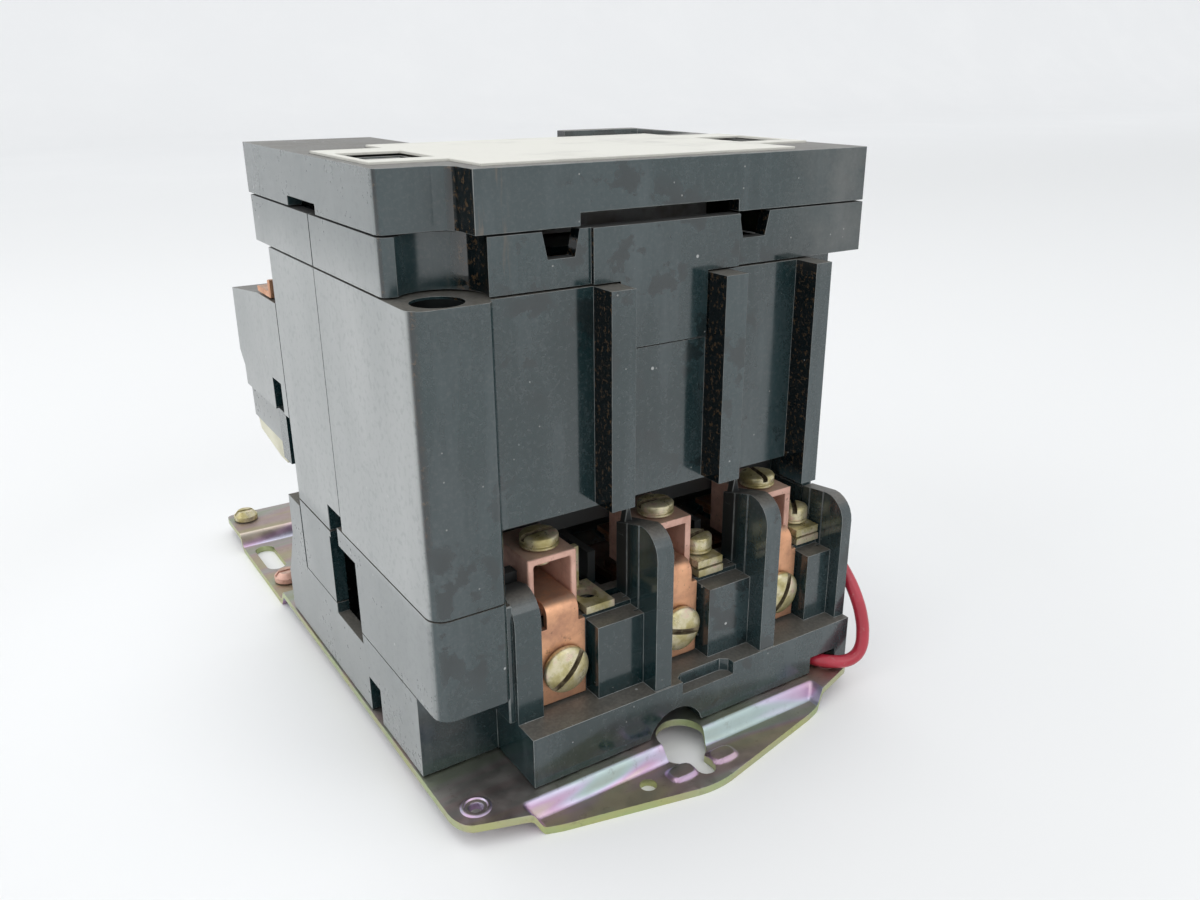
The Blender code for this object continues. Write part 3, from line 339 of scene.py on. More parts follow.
def moulded(name, dust=1.0, edge=0.0, shine=0.5):
    """Dark grey-green moulding: haze, brown dust on ledges, a grey film on the left side, flecks."""
    r = Recipe(name)
    cloud = r.noise(38, 5, 0.6)
    smear = r.noise(30, 4, 0.6, stretch=(6.0, 6.0, 0.9))
    colour = r.mix(r.step(cloud, 0.35, 0.68), (0.003, 0.017, 0.019), (0.009, 0.028, 0.031))
    colour = r.mix(r.times(r.step(smear, 0.45, 0.72), 0.24 * dust), colour, (0.09, 0.112, 0.120))
    haze = r.times(r.step(r.noise(17, 3, 0.5), 0.42, 0.60), 0.14 * dust)
    colour = r.mix(haze, colour, (0.10, 0.122, 0.130))
    mottle = r.times(r.step(r.noise(1300, 5, 0.75), 0.46, 0.68), 0.24 * dust)
    colour = r.mix(mottle, colour, (0.085, 0.097, 0.100))
    left = left_side(r)
    film = grey_film(r, left, dust)
    colour = r.mix(film, colour, (0.44, 0.452, 0.447))
    ledge = r.step(r.facing_z, 0.55, 0.92)
    settled = r.times(r.times(ledge, r.step(r.noise(110, 6, 0.7), 0.25, 0.65, 0.66, 0.94)), dust)
    grit = r.step(r.noise(1800, 2, 0.5), 0.35, 0.65)
    colour = r.mix(settled, colour, r.mix(grit, (0.095, 0.087, 0.074), (0.140, 0.128, 0.110)))
    cheek = rib_cheeks(r, left)
    colour = r.mix(r.times(cheek, 0.96), colour, (0.002, 0.004, 0.005))
    rust = r.times(cheek, r.times(r.step(r.noise(1100, 5, 0.75), 0.53, 0.63), 0.36 * dust))
    colour = r.mix(rust, colour, (0.17, 0.10, 0.045))
    colour = r.mix(corner_drips(r, dust), colour, (0.15, 0.10, 0.06))
    colour = r.mix(wet_stains(r, dust), colour, (0.006, 0.011, 0.012))
    hollow, notch = pole_hollow(r), notch_floors(r, ledge)
    colour = r.mix(r.plus(r.times(hollow, 0.92), notch), colour, (0.003, 0.004, 0.004))
    colour = r.mix(tired_end(r, dust), colour, (0.17, 0.165, 0.155))
    colour = r.mix(r.times(r.specks(230, 0.085, 0.20), 0.8), colour, (0.42, 0.43, 0.42))
    colour = r.mix(r.times(r.specks(620, 0.12, 0.09), 0.55 * dust), colour, (0.36, 0.36, 0.34))
    if edge:
        worn = r.step(r.noise(260, 4, 0.6), 0.32, 0.62, 0.30 * edge, edge)
        colour = r.mix(worn, colour, (0.36, 0.375, 0.365))
    rough = r.times(r.step(cloud, 0.3, 0.7, 0.10, 0.20), r.math("SUBTRACT", 1.0, r.times(cheek, 0.7)))
    rough = r.plus(rough, r.times(r.plus(settled, film), 0.38))
    rough = r.plus(rough, r.times(r.plus(hollow, notch), 0.40))
    grain = r.bump(r.noise(900, 3, 0.6), 0.02, 0.22)
    wavy = r.bump(r.noise(55, 2, 0.5), 0.12, 0.35, before=grain)
    r.shader.inputs["IOR"].default_value = 1.76
    r.shader.inputs["Specular IOR Level"].default_value = shine
    return r.finish(colour, rough, wavy)


def zinc_yellow(name, grime=0.5):
    """Yellow chromate on turned steel: olive, straw and a little pink."""
    r = Recipe(name, metallic=0.60)
    patch = r.noise(300, 4, 0.6)
    base = r.ramp(
        patch,
        (0.30, (0.36, 0.30, 0.12)), (0.45, (0.52, 0.46, 0.24)),
        (0.57, (0.66, 0.60, 0.42)), (0.68, (0.68, 0.50, 0.40)),
    )
    dirt = r.times(r.step(r.noise(900, 5, 0.7), 0.52, 0.74), grime)
    colour = r.mix(dirt, base, (0.14, 0.115, 0.075))
    rough = r.step(r.noise(520, 4, 0.6), 0.3, 0.7, 0.26, 0.44)
    return r.finish(colour, rough, r.bump(r.noise(1500, 3, 0.6), 0.02, 0.4))


def plated_sheet(name, edge=False):
    """Yellow chromate over zinc: brown-grey with green, pink and violet films, greener at the edges."""
    r = Recipe(name, metallic=1.0)
    film = r.noise(34, 3, 0.5, stretch=(0.5, 2.2, 2.2), distortion=0.9)
    rainbow = r.ramp(
        film,
        (0.30, (0.30, 0.42, 0.22)), (0.39, (0.34, 0.52, 0.40)), (0.46, (0.52, 0.50, 0.60)),
        (0.53, (0.58, 0.33, 0.46)), (0.61, (0.62, 0.50, 0.26)), (0.72, (0.36, 0.52, 0.34)),
    )
    level = r.math("ABSOLUTE", r.facing_z)
    flat = r.step(level, 0.93, 0.998)
    bend = r.mix(0.38, rainbow, (0.52, 0.47, 0.66))
    dull = r.mix(0.74, rainbow, (0.34, 0.315, 0.255))
    colour = r.mix(flat, bend, dull)
    rim = 1.0 if edge else r.step(level, 0.35, 0.10)
    colour = r.mix(r.times(rim, 0.72), colour, (0.44, 0.50, 0.17))
    spots = r.times(r.step(r.noise(620, 5, 0.7), 0.56, 0.70), 0.30)
    colour = r.mix(spots, colour, (0.16, 0.14, 0.12))
    rough = r.step(r.noise(240, 5, 0.6), 0.3, 0.7, 0.30, 0.46)
    rough = r.plus(rough, r.times(flat, 0.14))
    return r.finish(colour, rough, r.bump(r.noise(900, 3, 0.6), 0.03, 0.35))


def copper(name, clean, tarnish, rough_low=0.34, rough_high=0.55, metallic=0.8):
    r = Recipe(name, metallic=metallic)
    patch = r.step(r.noise(210, 5, 0.62), 0.36, 0.70)
    colour = r.mix(patch, clean, tarnish)
    spots = r.times(r.step(r.noise(950, 4, 0.7), 0.60, 0.70), 0.5)
    colour = r.mix(spots, colour, (0.16, 0.085, 0.055))
    dusty = r.times(r.step(r.facing_z, 0.7, 0.98), r.step(r.noise(500, 5, 0.7), 0.3, 0.6, 0.35, 0.75))
    colour = r.mix(dusty, colour, (0.42, 0.31, 0.24))
    rough = r.step(r.noise(420, 4, 0.6), 0.3, 0.7, rough_low, rough_high)
    return r.finish(colour, rough, r.bump(r.noise(1300, 3, 0.65), 0.035, 0.5))


def slot_dirt():
    """Old grease in the driver slots."""
    r = Recipe("slot_dirt", metallic=0.3)
    colour = r.mix(r.step(r.noise(900, 4, 0.6), 0.4, 0.65), (0.10, 0.075, 0.045), (0.24, 0.20, 0.12))
    return r.finish(colour, 0.6)


def label_stock():
    r = Recipe("label_stock")
    grey = r.step(r.noise(60, 6, 0.65), 0.50, 0.78)
    colour = r.mix(r.times(grey, 0.6), (0.68, 0.67, 0.61), (0.40, 0.39, 0.355))
    scuffs = r.times(r.step(r.noise(220, 6, 0.7, stretch=(0.3, 1.5, 1)), 0.60, 0.72), 0.45)
    colour = r.mix(scuffs, colour, (0.45, 0.44, 0.41))
    return r.finish(colour, 0.5, r.bump(r.noise(500, 3, 0.5), 0.02, 0.3))


def red_sleeve():
    r = Recipe("red_sleeve")
    colour = r.mix(r.step(r.noise(120, 4, 0.6), 0.35, 0.7), (0.36, 0.012, 0.030), (0.46, 0.025, 0.05))
    dust = r.times(r.step(r.noise(700, 5, 0.7), 0.58, 0.74), 0.35)
    colour = r.mix(dust, colour, (0.40, 0.25, 0.22))
    r.shader.inputs["Coat Weight"].default_value = 0.35
    return r.finish(colour, r.step(r.noise(260, 3, 0.6), 0.3, 0.7, 0.28, 0.42))


def natural_nylon():
    r = Recipe("natural_nylon")
    colour = r.mix(r.step(r.noise(90, 5, 0.6), 0.4, 0.75), (0.66, 0.64, 0.50), (0.48, 0.46, 0.34))
    return r.finish(colour, 0.48, r.bump(r.noise(700, 3, 0.6), 0.02, 0.3))


def wound_wire():
    r = Recipe("wound_wire", metallic=0.6)
    turns = r.math("SINE", r.times(r.z, 2 * math.pi / (0.35 * MM)))
    colour = r.mix(r.step(turns, -1, 1), (0.24, 0.09, 0.035), (0.60, 0.27, 0.12))
    return r.finish(colour, 0.38, r.bump(turns, 0.10, 0.6))


def stacked_sheets():
    r = Recipe("stacked_sheets", metallic=1.0)
    sheets = r.math("SINE", r.times(r.y, 2 * math.pi / (0.5 * MM)))
    colour = r.mix(r.step(r.noise(160, 4, 0.6), 0.35, 0.7), (0.40, 0.40, 0.40), (0.25, 0.235, 0.22))
    return r.finish(colour, 0.42, r.bump(sheets, 0.05, 0.5))


def drawn_wire():
    r = Recipe("drawn_wire", metallic=1.0)
    colour = r.mix(r.step(r.noise(300, 4, 0.6), 0.4, 0.7), (0.55, 0.55, 0.54), (0.33, 0.32, 0.30))
    return r.finish(colour, r.step(r.noise(500, 3, 0.5), 0.3, 0.7, 0.22, 0.38))


def deep_black():
    r = Recipe("deep_black")
    colour = r.mix(r.step(r.noise(200, 4, 0.6), 0.4, 0.7), (0.003, 0.004, 0.004), (0.008, 0.010, 0.010))
    r.shader.inputs["Specular IOR Level"].default_value = 0.1
    return r.finish(colour, 0.7)


MATERIALS = {}


def make_materials():
    MATERIALS.update(
        {
            "plastic": moulded("moulded_plastic"),
            "plastic_edge": moulded("moulded_plastic_edge", edge=0.42),
            "plastic_cheek": moulded("moulded_plastic_cheek", shine=0.12),
            "inner_plastic": moulded("inner_plastic", dust=0.35),
            "zinc": zinc_yellow("zinc_yellow"),
            "zinc_dirty": zinc_yellow("zinc_yellow_dirty", grime=0.75),
            "sheet": plated_sheet("plated_sheet"),
            "sheet_edge": plated_sheet("plated_sheet_edge", edge=True),
            "strap": copper("strap_copper", (0.76, 0.41, 0.24), (0.52, 0.28, 0.18)),
            "lug": copper("lug_copper", (0.74, 0.46, 0.37), (0.54, 0.31, 0.24), 0.42, 0.6, 0.35),
            "inner_copper": copper("inner_copper", (0.34, 0.17, 0.10), (0.20, 0.10, 0.06)),
            "slot_dirt": slot_dirt(),
            "label": label_stock(),
            "red": red_sleeve(),
            "nylon": natural_nylon(),
            "winding": wound_wire(),
            "core": stacked_sheets(),
            "spring": drawn_wire(),
            "black": deep_black(),
        }
    )


# Mesh tools


def new_piece(name, shell, material, body="housing", smooth_angle=40):
    """Turns a bmesh in metres into a piece that rides on a body."""
    data = bpy.data.meshes.new(name)
    bmesh.ops.recalc_face_normals(shell, faces=shell.faces)
    shell.to_mesh(data)
    shell.free()
    piece = bpy.data.objects.new(name, data)
    data.materials.append(MATERIALS[material])
    bpy.context.scene.collection.objects.link(piece)
    data.shade_smooth()
    data.set_sharp_from_angle(angle=math.radians(smooth_angle))
    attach(piece, body)
    return piece


def cad_copy(node):
    """The CAD node's mesh with its points merged and its flat faces made whole."""
    shell = bmesh.new()
    shell.from_mesh(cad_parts[node].data)
    bmesh.ops.remove_doubles(shell, verts=shell.verts, dist=2e-6)
    bmesh.ops.dissolve_limit(
        shell, angle_limit=math.radians(0.6), use_dissolve_boundaries=False,
        verts=shell.verts, edges=shell.edges,
    )
    return shell


def soften(piece, width_mm, segments=2, angle=32, edge_material=None):
    """Rounds the sharp edges with real faces, which can carry a worn finish of their own."""
    bevel = piece.modifiers.new("edges", "BEVEL")
    bevel.width = width_mm * MM
    bevel.segments = segments
    bevel.limit_method = "ANGLE"
    bevel.angle_limit = math.radians(angle)
    bevel.use_clamp_overlap = True
    bevel.miter_outer = "MITER_ARC"
    if edge_material:
        piece.data.materials.append(MATERIALS[edge_material])
        bevel.material = len(piece.data.materials) - 1
    flat = piece.modifiers.new("flats", "WEIGHTED_NORMAL")
    flat.keep_sharp = False
    flat.weight = 90


def dull_cheeks(piece):
    """Upright faces that look left from inside the front are in shade and keep less shine."""
    piece.data.materials.append(MATERIALS["plastic_cheek"])
    for face in piece.data.polygons:
        inside = face.center.x > (BODY_LEFT + 4) * MM
        upright = face.normal.x < -0.9 and face.center.z > RIB_FOOT * MM
        if inside and upright and face.center.y < -50 * MM:
            face.material_index = 1


def softened_node(node, material, width_mm, segments=2):
    """The CAD node's own shape with rounded edges."""
    piece = new_piece(f"{node}_shell", cad_copy(node), material, smooth_angle=180)
    soften(piece, width_mm, segments)
    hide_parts(node)


def plastic_node(node, width_mm, cutters=None):
    """A moulding in its CAD shape, with worn rounded edges and its cheeks in shade."""
    piece = new_piece(f"{node}_shell", cad_copy(node), "plastic", smooth_angle=180)
    dull_cheeks(piece)
    if cutters:
        carve(piece, cutters)
    soften(piece, width_mm, 3, edge_material="plastic_edge")
    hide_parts(node)


def add_prism(shell, outline, low_end, high_end, axis="Z"):
    """Adds an outline carried along Z or Y, in millimetres."""

    def placed(pair, along):
        if axis == "Z":
            return Vector((pair[0], pair[1], along)) * MM
        return Vector((pair[0], along, pair[1])) * MM

    count = len(outline)
    points = [shell.verts.new(placed(pair, low_end)) for pair in outline]
    points += [shell.verts.new(placed(pair, high_end)) for pair in outline]
    shell.faces.new(points[:count])
    shell.faces.new(points[count:])
    for index in range(count):
        following = (index + 1) % count
        side = (index, following, count + following, count + index)
        shell.faces.new([points[corner] for corner in side])


def add_block(shell, x, y, z):
    add_prism(shell, [(x[0], y[0]), (x[1], y[0]), (x[1], y[1]), (x[0], y[1])], z[0], z[1])


def arc(centre, radius, start, end, steps):
    points = []
    for step in range(steps + 1):
        angle = math.radians(start + (end - start) * step / steps)
        points.append((centre[0] + radius * math.cos(angle), centre[1] + radius * math.sin(angle)))
    return points


def add_lathe(shell, profile, centre, axis="Z", sides=48):
    """Adds a solid of revolution. The profile is (radius, height) from one pole to the other."""
    rings = []
    for radius, height in profile:
        made = []
        for index in range(sides if radius > 0 else 1):
            angle = 2 * math.pi * index / sides
            a, b = radius * math.cos(angle), radius * math.sin(angle)
            if axis == "Z":
                point = Vector((centre[0] + a, centre[1] + b, centre[2] + height))
            else:
                point = Vector((centre[0] + a, centre[1] - height, centre[2] + b))
            made.append(shell.verts.new(point * MM))
        rings.append(made)
    # A ring of one point is a pole, which its neighbour closes with triangles
    for first, second in zip(rings, rings[1:]):
        for index in range(sides):
            following = (index + 1) % sides
            if len(first) == 1:
                shell.faces.new((first[0], second[index], second[following]))
            elif len(second) == 1:
                shell.faces.new((first[index], first[following], second[0]))
            else:
                shell.faces.new((first[index], first[following], second[following], second[index]))


def rounded(outline, radius, steps=5):
    """The outline with every corner turned into a short curve of the given reach."""
    points = []
    count = len(outline)
    for index, corner in enumerate(outline):
        corner = Vector(corner)
        before = Vector(outline[index - 1]) - corner
        after = Vector(outline[(index + 1) % count]) - corner
        longest = 0.45  # of an edge, so that two curves never meet
        reach = min(radius, longest * before.length, longest * after.length)
        first = corner + before.normalized() * reach
        last = corner + after.normalized() * reach
        for step in range(steps + 1):
            t = step / steps
            bend = first * (1 - t) ** 2 + corner * 2 * t * (1 - t) + last * t**2
            points.append((bend.x, bend.y))
    return points


def carve(piece, cutters, cut_finish=None):
    """Cuts the piece with throwaway bmesh solids and applies the result."""
    tool_mesh = bpy.data.meshes.new("tool")
    bmesh.ops.recalc_face_normals(cutters, faces=cutters.faces)
    cutters.to_mesh(tool_mesh)
    cutters.free()
    tool = bpy.data.objects.new("tool", tool_mesh)
    bpy.context.scene.collection.objects.link(tool)
    change = piece.modifiers.new("cut", "BOOLEAN")
    change.object = tool
    change.operation = "DIFFERENCE"
    change.solver = "EXACT"
    change.use_self = True
    if cut_finish:
        tool_mesh.materials.append(MATERIALS[cut_finish])
        change.material_mode = "TRANSFER"
    bpy.context.view_layer.update()
    graph = bpy.context.evaluated_depsgraph_get()
    result = bpy.data.meshes.new_from_object(piece.evaluated_get(graph))
    piece.modifiers.remove(change)
    piece.data = result
    bpy.data.objects.remove(tool)


# Housings

# The fins stand between the poles: left faces and how far they reach forward of the row's middle
FIN_LEFTS = (-4.3, 20.9, 42.4)
FIN_REACHES = (43.2, 43.2, 41.9)
ROW_MIDDLE_Y = -24.1
WINDOW_Y = (-43.0, -29.5)
WINDOW_X = (30.9, 41.6)
COVER_TOP = 108.2


def fin_grooves():
    """Cutters for the fine parting lines down the left faces of the front fins."""
    cutters = bmesh.new()
    depth, width, foot, top = 0.22, 0.3, 15.0, 50.0
    for left, reach in zip(FIN_LEFTS, FIN_REACHES):
        x = (PLATE_X + left - 1.0, PLATE_X + left + depth)
        for inward in (5.6, 9.4):
            y = ROW_MIDDLE_Y - reach + inward
            add_block(cutters, x, (y, y + width), (foot, top))
    return cutters


def fin_root():
    """Closes the slit between the first fin and the column beside it."""
    shell = bmesh.new()
    front, back, foot, top = -61.6, -50.0, 14.9, 38.0
    add_block(shell, (PLATE_X - 31.35, PLATE_X - 29.9), (front, back), (foot, top))
    soften(new_piece("fin_root", shell, "plastic"), 0.3, edge_material="plastic_edge")


def rib_nibs():
    """Small pointed catches that stand on the fins below the first two ribs."""
    for index, left in enumerate(FIN_LEFTS[:2], 1):
        shell = bmesh.new()
        x = PLATE_X + left + 1.2
        y = ROW_MIDDLE_Y - 31.6
        wide, narrow, foot, tip = 1.3, 0.3, 42.0, 47.6
        outline = [(x - wide, foot), (x + wide, foot), (x + narrow, tip), (x - narrow, tip)]
        add_prism(shell, outline, y - 0.8, y + 0.8, "Y")
        soften(new_piece(f"rib_nib_{index}", shell, "plastic"), 0.18, edge_material="plastic_edge")


def window_grilles():
    """Slats across the two small windows of the cover."""
    for name, side in (("left", -1), ("right", 1)):
        shell = bmesh.new()
        ends = sorted((PLATE_X + side * (WINDOW_X[0] + 0.4), PLATE_X + side * (WINDOW_X[1] - 0.4)))
        count, half_width, sunk, thick = 5, 0.55, 0.55, 1.1
        pitch = (WINDOW_Y[1] - WINDOW_Y[0]) / count
        for slat in range(count):
            y = WINDOW_Y[0] + pitch * (slat + 0.5)
            heights = (COVER_TOP - sunk - thick, COVER_TOP - sunk)
            add_block(shell, ends, (y - half_width, y + half_width), heights)
        soften(new_piece(f"window_grille_{name}", shell, "plastic"), 0.2, edge_material="plastic_edge")


def column_well():
    """The dark bore down the front left column."""
    shell = bmesh.new()
    centre = (PLATE_X - 38.7, -58.9, high("mid_housing_front").z)
    outer, inner, axle, depth, floor = 4.05, 3.75, 0.1, 16.0, 0.5
    profile = [
        (inner, -0.4), (outer, -0.4), (outer, -depth),
        (axle, -depth), (axle, -depth + floor), (inner, -depth + floor),
    ]
    add_ring(shell, profile, centre)
    new_piece("column_well", shell, "black")


def cover_rear_ridge():
    """The ridge behind the label falls away towards the right corner."""
    shell = bmesh.new()
    start, end = PLATE_X + 29.1, PLATE_X + 43.0
    foot = COVER_TOP - 0.1
    outline = [(start, foot), (end, foot), (end, COVER_TOP + 0.1), (start, COVER_TOP + 1.35)]
    add_prism(shell, outline, -12.2, -9.6, "Y")
    soften(new_piece("cover_rear_ridge", shell, "plastic"), 0.25, edge_material="plastic_edge")


def housings():
    column_well()
    cover_rear_ridge()
    plastic_node("base_housing", 0.35, fin_grooves())
    fin_root()
    rib_nibs()
    window_grilles()
    plastic_node("contact_frame", 0.40)
    plastic_node("mid_housing_front", 0.40)
    plastic_node("mid_housing_rear", 0.40)
    plastic_node("upper_housing", 0.35)
    plastic_node("top_cover", 0.45)
    plastic_node("aux_block", 0.40)
    softened_node("label_plate", "label", 0.08)


# Bent steel plate

SHEET = 1.5
PLATE_RISE = 3.0
# Each fold starts and ends at a Y, and the sheet goes up or down there
FOLDS = ((-71.4, -69.4, 1), (27.6, 30.7, -1), (64.0, 67.1, 1))
WING_FOLD = (31.4, 33.8)
PLATE_HALF = 45.3
PLATE_END = 80.7
KEYHOLE = (PLATE_X + 0.5, -69.1)
KEYHOLE_RADIUS = 4.8
SLOT_END = (PLATE_X + 0.9, -76.2)
SLOT_RADIUS = 1.9
DIMPLE = {"apart": 4.7, "y": -75.1, "half_width": 2.9, "half_length": 2.0, "height": 0.6}
BOSS_X = 40.6
BOSS_Y = -65.8


def eased(value, start, end):
    """0 before start, 1 after end and smooth between."""
    share = min(max((value - start) / (end - start), 0.0), 1.0)
    return share * share * (3 - 2 * share)


def plate_lift(x, y):
    """How far the sheet stands above the table at a place on it: its folds and two pressed dimples."""
    main = 0.0
    for start, end, way in FOLDS:
        main += way * eased(y, start, end)
    wing = eased(abs(x - PLATE_X), *WING_FOLD) if y < FOLDS[0][1] else 0.0
    lift = PLATE_RISE * max(main, wing)
    for side in (-1, 1):
        along = abs(x - SLOT_END[0] - side * DIMPLE["apart"]) / DIMPLE["half_width"]
        across = abs(y - DIMPLE["y"]) / DIMPLE["half_length"]
        lift += DIMPLE["height"] * (1 - eased(along**3 + across**3, 0.55, 1.1))
    return lift


def plate_outline():
    half = [
        (PLATE_HALF, PLATE_END), (PLATE_HALF, -66.2), (43.9, -69.4),
        (34.4, -72.5), (29.4, -74.5), (2.2, -PLATE_END),
    ]
    right = [(PLATE_X + x, y) for x, y in half]
    left = [(PLATE_X - x, y) for x, y in reversed(half)]
    return rounded(right + left, 2.0)


def plate_holes():
    """Cutters for the keyhole, the small hole beside it, the two tapped holes and the rear slots."""
    cutters = bmesh.new()
    reach = (-5, 5)
    add_prism(cutters, arc(KEYHOLE, KEYHOLE_RADIUS, 0, 359, 47), *reach)
    slot = [(SLOT_END[0] - SLOT_RADIUS, KEYHOLE[1])] + arc(SLOT_END, SLOT_RADIUS, 180, 360, 12)
    add_prism(cutters, slot + [(SLOT_END[0] + SLOT_RADIUS, KEYHOLE[1])], -5.2, 5.2)
    add_prism(cutters, arc((PLATE_X - 10.8, -74.4), 1.6, 0, 350, 35), *reach)
    rear_slot_x, front_end, rear_end, half_width = 41.0, 49.3, 59.7, 2.4
    for side in (-1, 1):
        add_prism(cutters, arc((PLATE_X + side * BOSS_X, BOSS_Y), 1.4, 0, 350, 35), *reach)
        centre = PLATE_X + side * rear_slot_x
        outline = arc((centre, rear_end), half_width, 0, 180, 12)
        outline += arc((centre, front_end), half_width, 180, 360, 12)
        add_prism(cutters, outline, *reach)
    return cutters


def slice_lines(start, end, pitch=0.4):
    """Where the flat sheet is cut into narrow strips, so that it can bend."""
    count = max(1, round((end - start) / pitch))
    return [start + (end - start) * index / count for index in range(count + 1)]


def plate():
    """The sheet is cut flat, sliced and then bent by moving its points."""
    shell = bmesh.new()
    add_prism(shell, plate_outline(), 0, SHEET)
    piece = new_piece("sheet_plate", shell, "sheet", smooth_angle=180)
    carve(piece, plate_holes())
    shell = bmesh.new()
    shell.from_mesh(piece.data)
    rows = slice_lines(-79.0, -68.2) + slice_lines(26.5, 31.7) + slice_lines(62.9, 68.1)
    columns = slice_lines(-35, -30) + slice_lines(-7, 9) + slice_lines(30, 35)
    cuts = [((0, y, 0), (0, 1, 0)) for y in rows]
    cuts += [((PLATE_X + x, 0, 0), (1, 0, 0)) for x in columns]
    for place, normal in cuts:
        everything = shell.verts[:] + shell.edges[:] + shell.faces[:]
        bmesh.ops.bisect_plane(
            shell, geom=everything, dist=1e-7, plane_co=Vector(place) * MM, plane_no=normal,
        )
    for vert in shell.verts:
        vert.co.z += plate_lift(vert.co.x / MM, vert.co.y / MM) * MM
    shell.to_mesh(piece.data)
    shell.free()
    piece.data.shade_smooth()
    soften(piece, 0.18, angle=55, edge_material="sheet_edge")
    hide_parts("mounting_plate")
    for side in (-1, 1):
        boss((PLATE_X + side * BOSS_X, BOSS_Y, PLATE_RISE + SHEET))


def boss(centre):
    """A raised lip round a tapped hole, with its thread."""
    shell = bmesh.new()
    lip = [(2.7, -0.1), (2.75, 0.05), (2.45, 0.28), (2.1, 0.28), (1.9, 0.05), (1.9, -0.1)]
    add_ring(shell, lip, centre)
    turns, pitch = 5, 0.28
    for turn in range(turns):
        z = -0.1 - pitch * turn
        add_ring(shell, [(1.45, z), (1.15, z - 0.12), (1.45, z - 0.24)], centre, 32)
    new_piece(f"boss_{'left' if centre[0] < 0 else 'right'}", shell, "sheet")


# Terminals

THREAD_DEPTH = 0.28
SLOT_LENGTH = 12  # longer than any head, so that the slot runs out at both sides


def add_ring(shell, profile, centre, sides=48):
    """A closed profile turned round an upright axis."""
    rings = []
    for radius, height in profile:
        made = []
        for index in range(sides):
            angle = 2 * math.pi * index / sides
            offset = Vector((radius * math.cos(angle), radius * math.sin(angle), height))
            made.append(shell.verts.new((Vector(centre) + offset) * MM))
        rings.append(made)
    for first, second in zip(rings, rings[1:] + rings[:1]):
        for index in range(sides):
            following = (index + 1) % sides
            shell.faces.new((first[index], first[following], second[following], second[index]))


def thread(radius, depth, low_end, high_end, pitch=0.6):
    """Ridges of a thread as (radius, height) steps from the bottom up."""
    points = []
    count = round((high_end - low_end) / pitch)
    for turn in range(count):
        z = low_end + (high_end - low_end) * turn / count
        points += [(radius - depth, z), (radius, z + 0.30 * pitch), (radius, z + 0.55 * pitch)]
    return points + [(radius - depth, high_end)]


def slot_cutter(centre, width, depth, angle, axis="Z"):
    """A bar that cuts a driver slot into a head from its crown."""
    cutter = bmesh.new()
    turn = math.radians(angle)
    along, across = (math.cos(turn), math.sin(turn)), (-math.sin(turn), math.cos(turn))
    outline = []
    for a, b in ((-1, -1), (1, -1), (1, 1), (-1, 1)):
        u = a * along[0] * SLOT_LENGTH / 2 + b * across[0] * width / 2
        v = a * along[1] * SLOT_LENGTH / 2 + b * across[1] * width / 2
        outline.append((centre[0] + u, (centre[1] if axis == "Z" else centre[2]) + v))
    if axis == "Z":
        add_prism(cutter, outline, centre[2] - depth, centre[2] + 3)
    else:
        add_prism(cutter, outline, centre[1] - 3, centre[1] + depth, "Y")
    return cutter


def clamping_screw(node, body, angle, head_height, thread_radius=2.1):
    """Cheese head with a slot, a thin flange under it and a threaded shank."""
    bottom, top, centre = low(node), high(node), middle(node)
    radius = (top.x - bottom.x) / 2
    head = top.z - head_height
    tip = bottom.z
    neck, cheese = radius - 0.38, radius - 0.02
    profile = [(0, tip), (thread_radius - 0.5, tip)]
    profile += thread(thread_radius, THREAD_DEPTH, tip + 0.3, head - 0.1)
    profile += [(radius - 0.2, head), (radius, head + 0.1), (radius, head + 0.45)]
    profile += [(neck, head + 0.6), (neck, head + 0.85)]
    profile += [(cheese, head + 1.0), (cheese, top.z - 0.6)]
    profile += [(radius - 0.25, top.z - 0.3), (radius - 0.9, top.z - 0.08), (0, top.z)]
    shell = bmesh.new()
    add_lathe(shell, profile, (centre.x, centre.y, 0))
    piece = new_piece(f"{node}_turned", shell, "zinc", body, smooth_angle=180)
    slot_width, slot_depth = 1.0, 1.1
    crown = (centre.x, centre.y, top.z)
    carve(piece, slot_cutter(crown, slot_width, slot_depth, angle), "slot_dirt")
    settle(piece, node)


def settle(piece, node):
    """Shades the carved piece, rounds its cut edges and hides the CAD node it stands for."""
    piece.data.shade_smooth()
    piece.data.set_sharp_from_angle(angle=math.radians(35))
    soften(piece, 0.10, angle=50)
    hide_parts(node)


def binding_screw(node, body, angle):
    """Broad domed head with a slot, lying along Y."""
    bottom, top, centre = low(node), high(node), middle(node)
    radius = (top.x - bottom.x) / 2
    head_height, rim_height, dome_height, dome_steps = 2.2, 1.05, 1.13, 7
    seat = bottom.y + head_height
    depth = top.y - seat
    dome = radius - 0.12
    profile = [(0, -depth), (1.9, -depth)] + thread(2.2, THREAD_DEPTH, -depth + 0.4, -0.3)
    profile += [(2.1, 0), (radius - 0.1, 0), (radius, 0.12), (radius, 0.85), (dome, rim_height)]
    for step in range(1, dome_steps + 1):
        share = step / dome_steps
        rise = math.sin(share * math.pi / 2) ** 0.8
        profile.append((dome * (1 - share), rim_height + dome_height * rise))
    shell = bmesh.new()
    add_lathe(shell, profile, (centre.x, seat, centre.z), "Y", 56)
    piece = new_piece(f"{node}_turned", shell, "zinc", body, smooth_angle=180)
    slot_width, slot_depth = 1.15, 1.25
    crown = (centre.x, bottom.y, centre.z)
    carve(piece, slot_cutter(crown, slot_width, slot_depth, angle, "Y"), "slot_dirt")
    settle(piece, node)


# How far each driver slot is turned, by pole, in degrees
SLOT_ANGLES = {1: 4, 2: -6, 3: 78}
STRAP_SLOT_ANGLES = {1: 47, 2: -14, 3: 62}


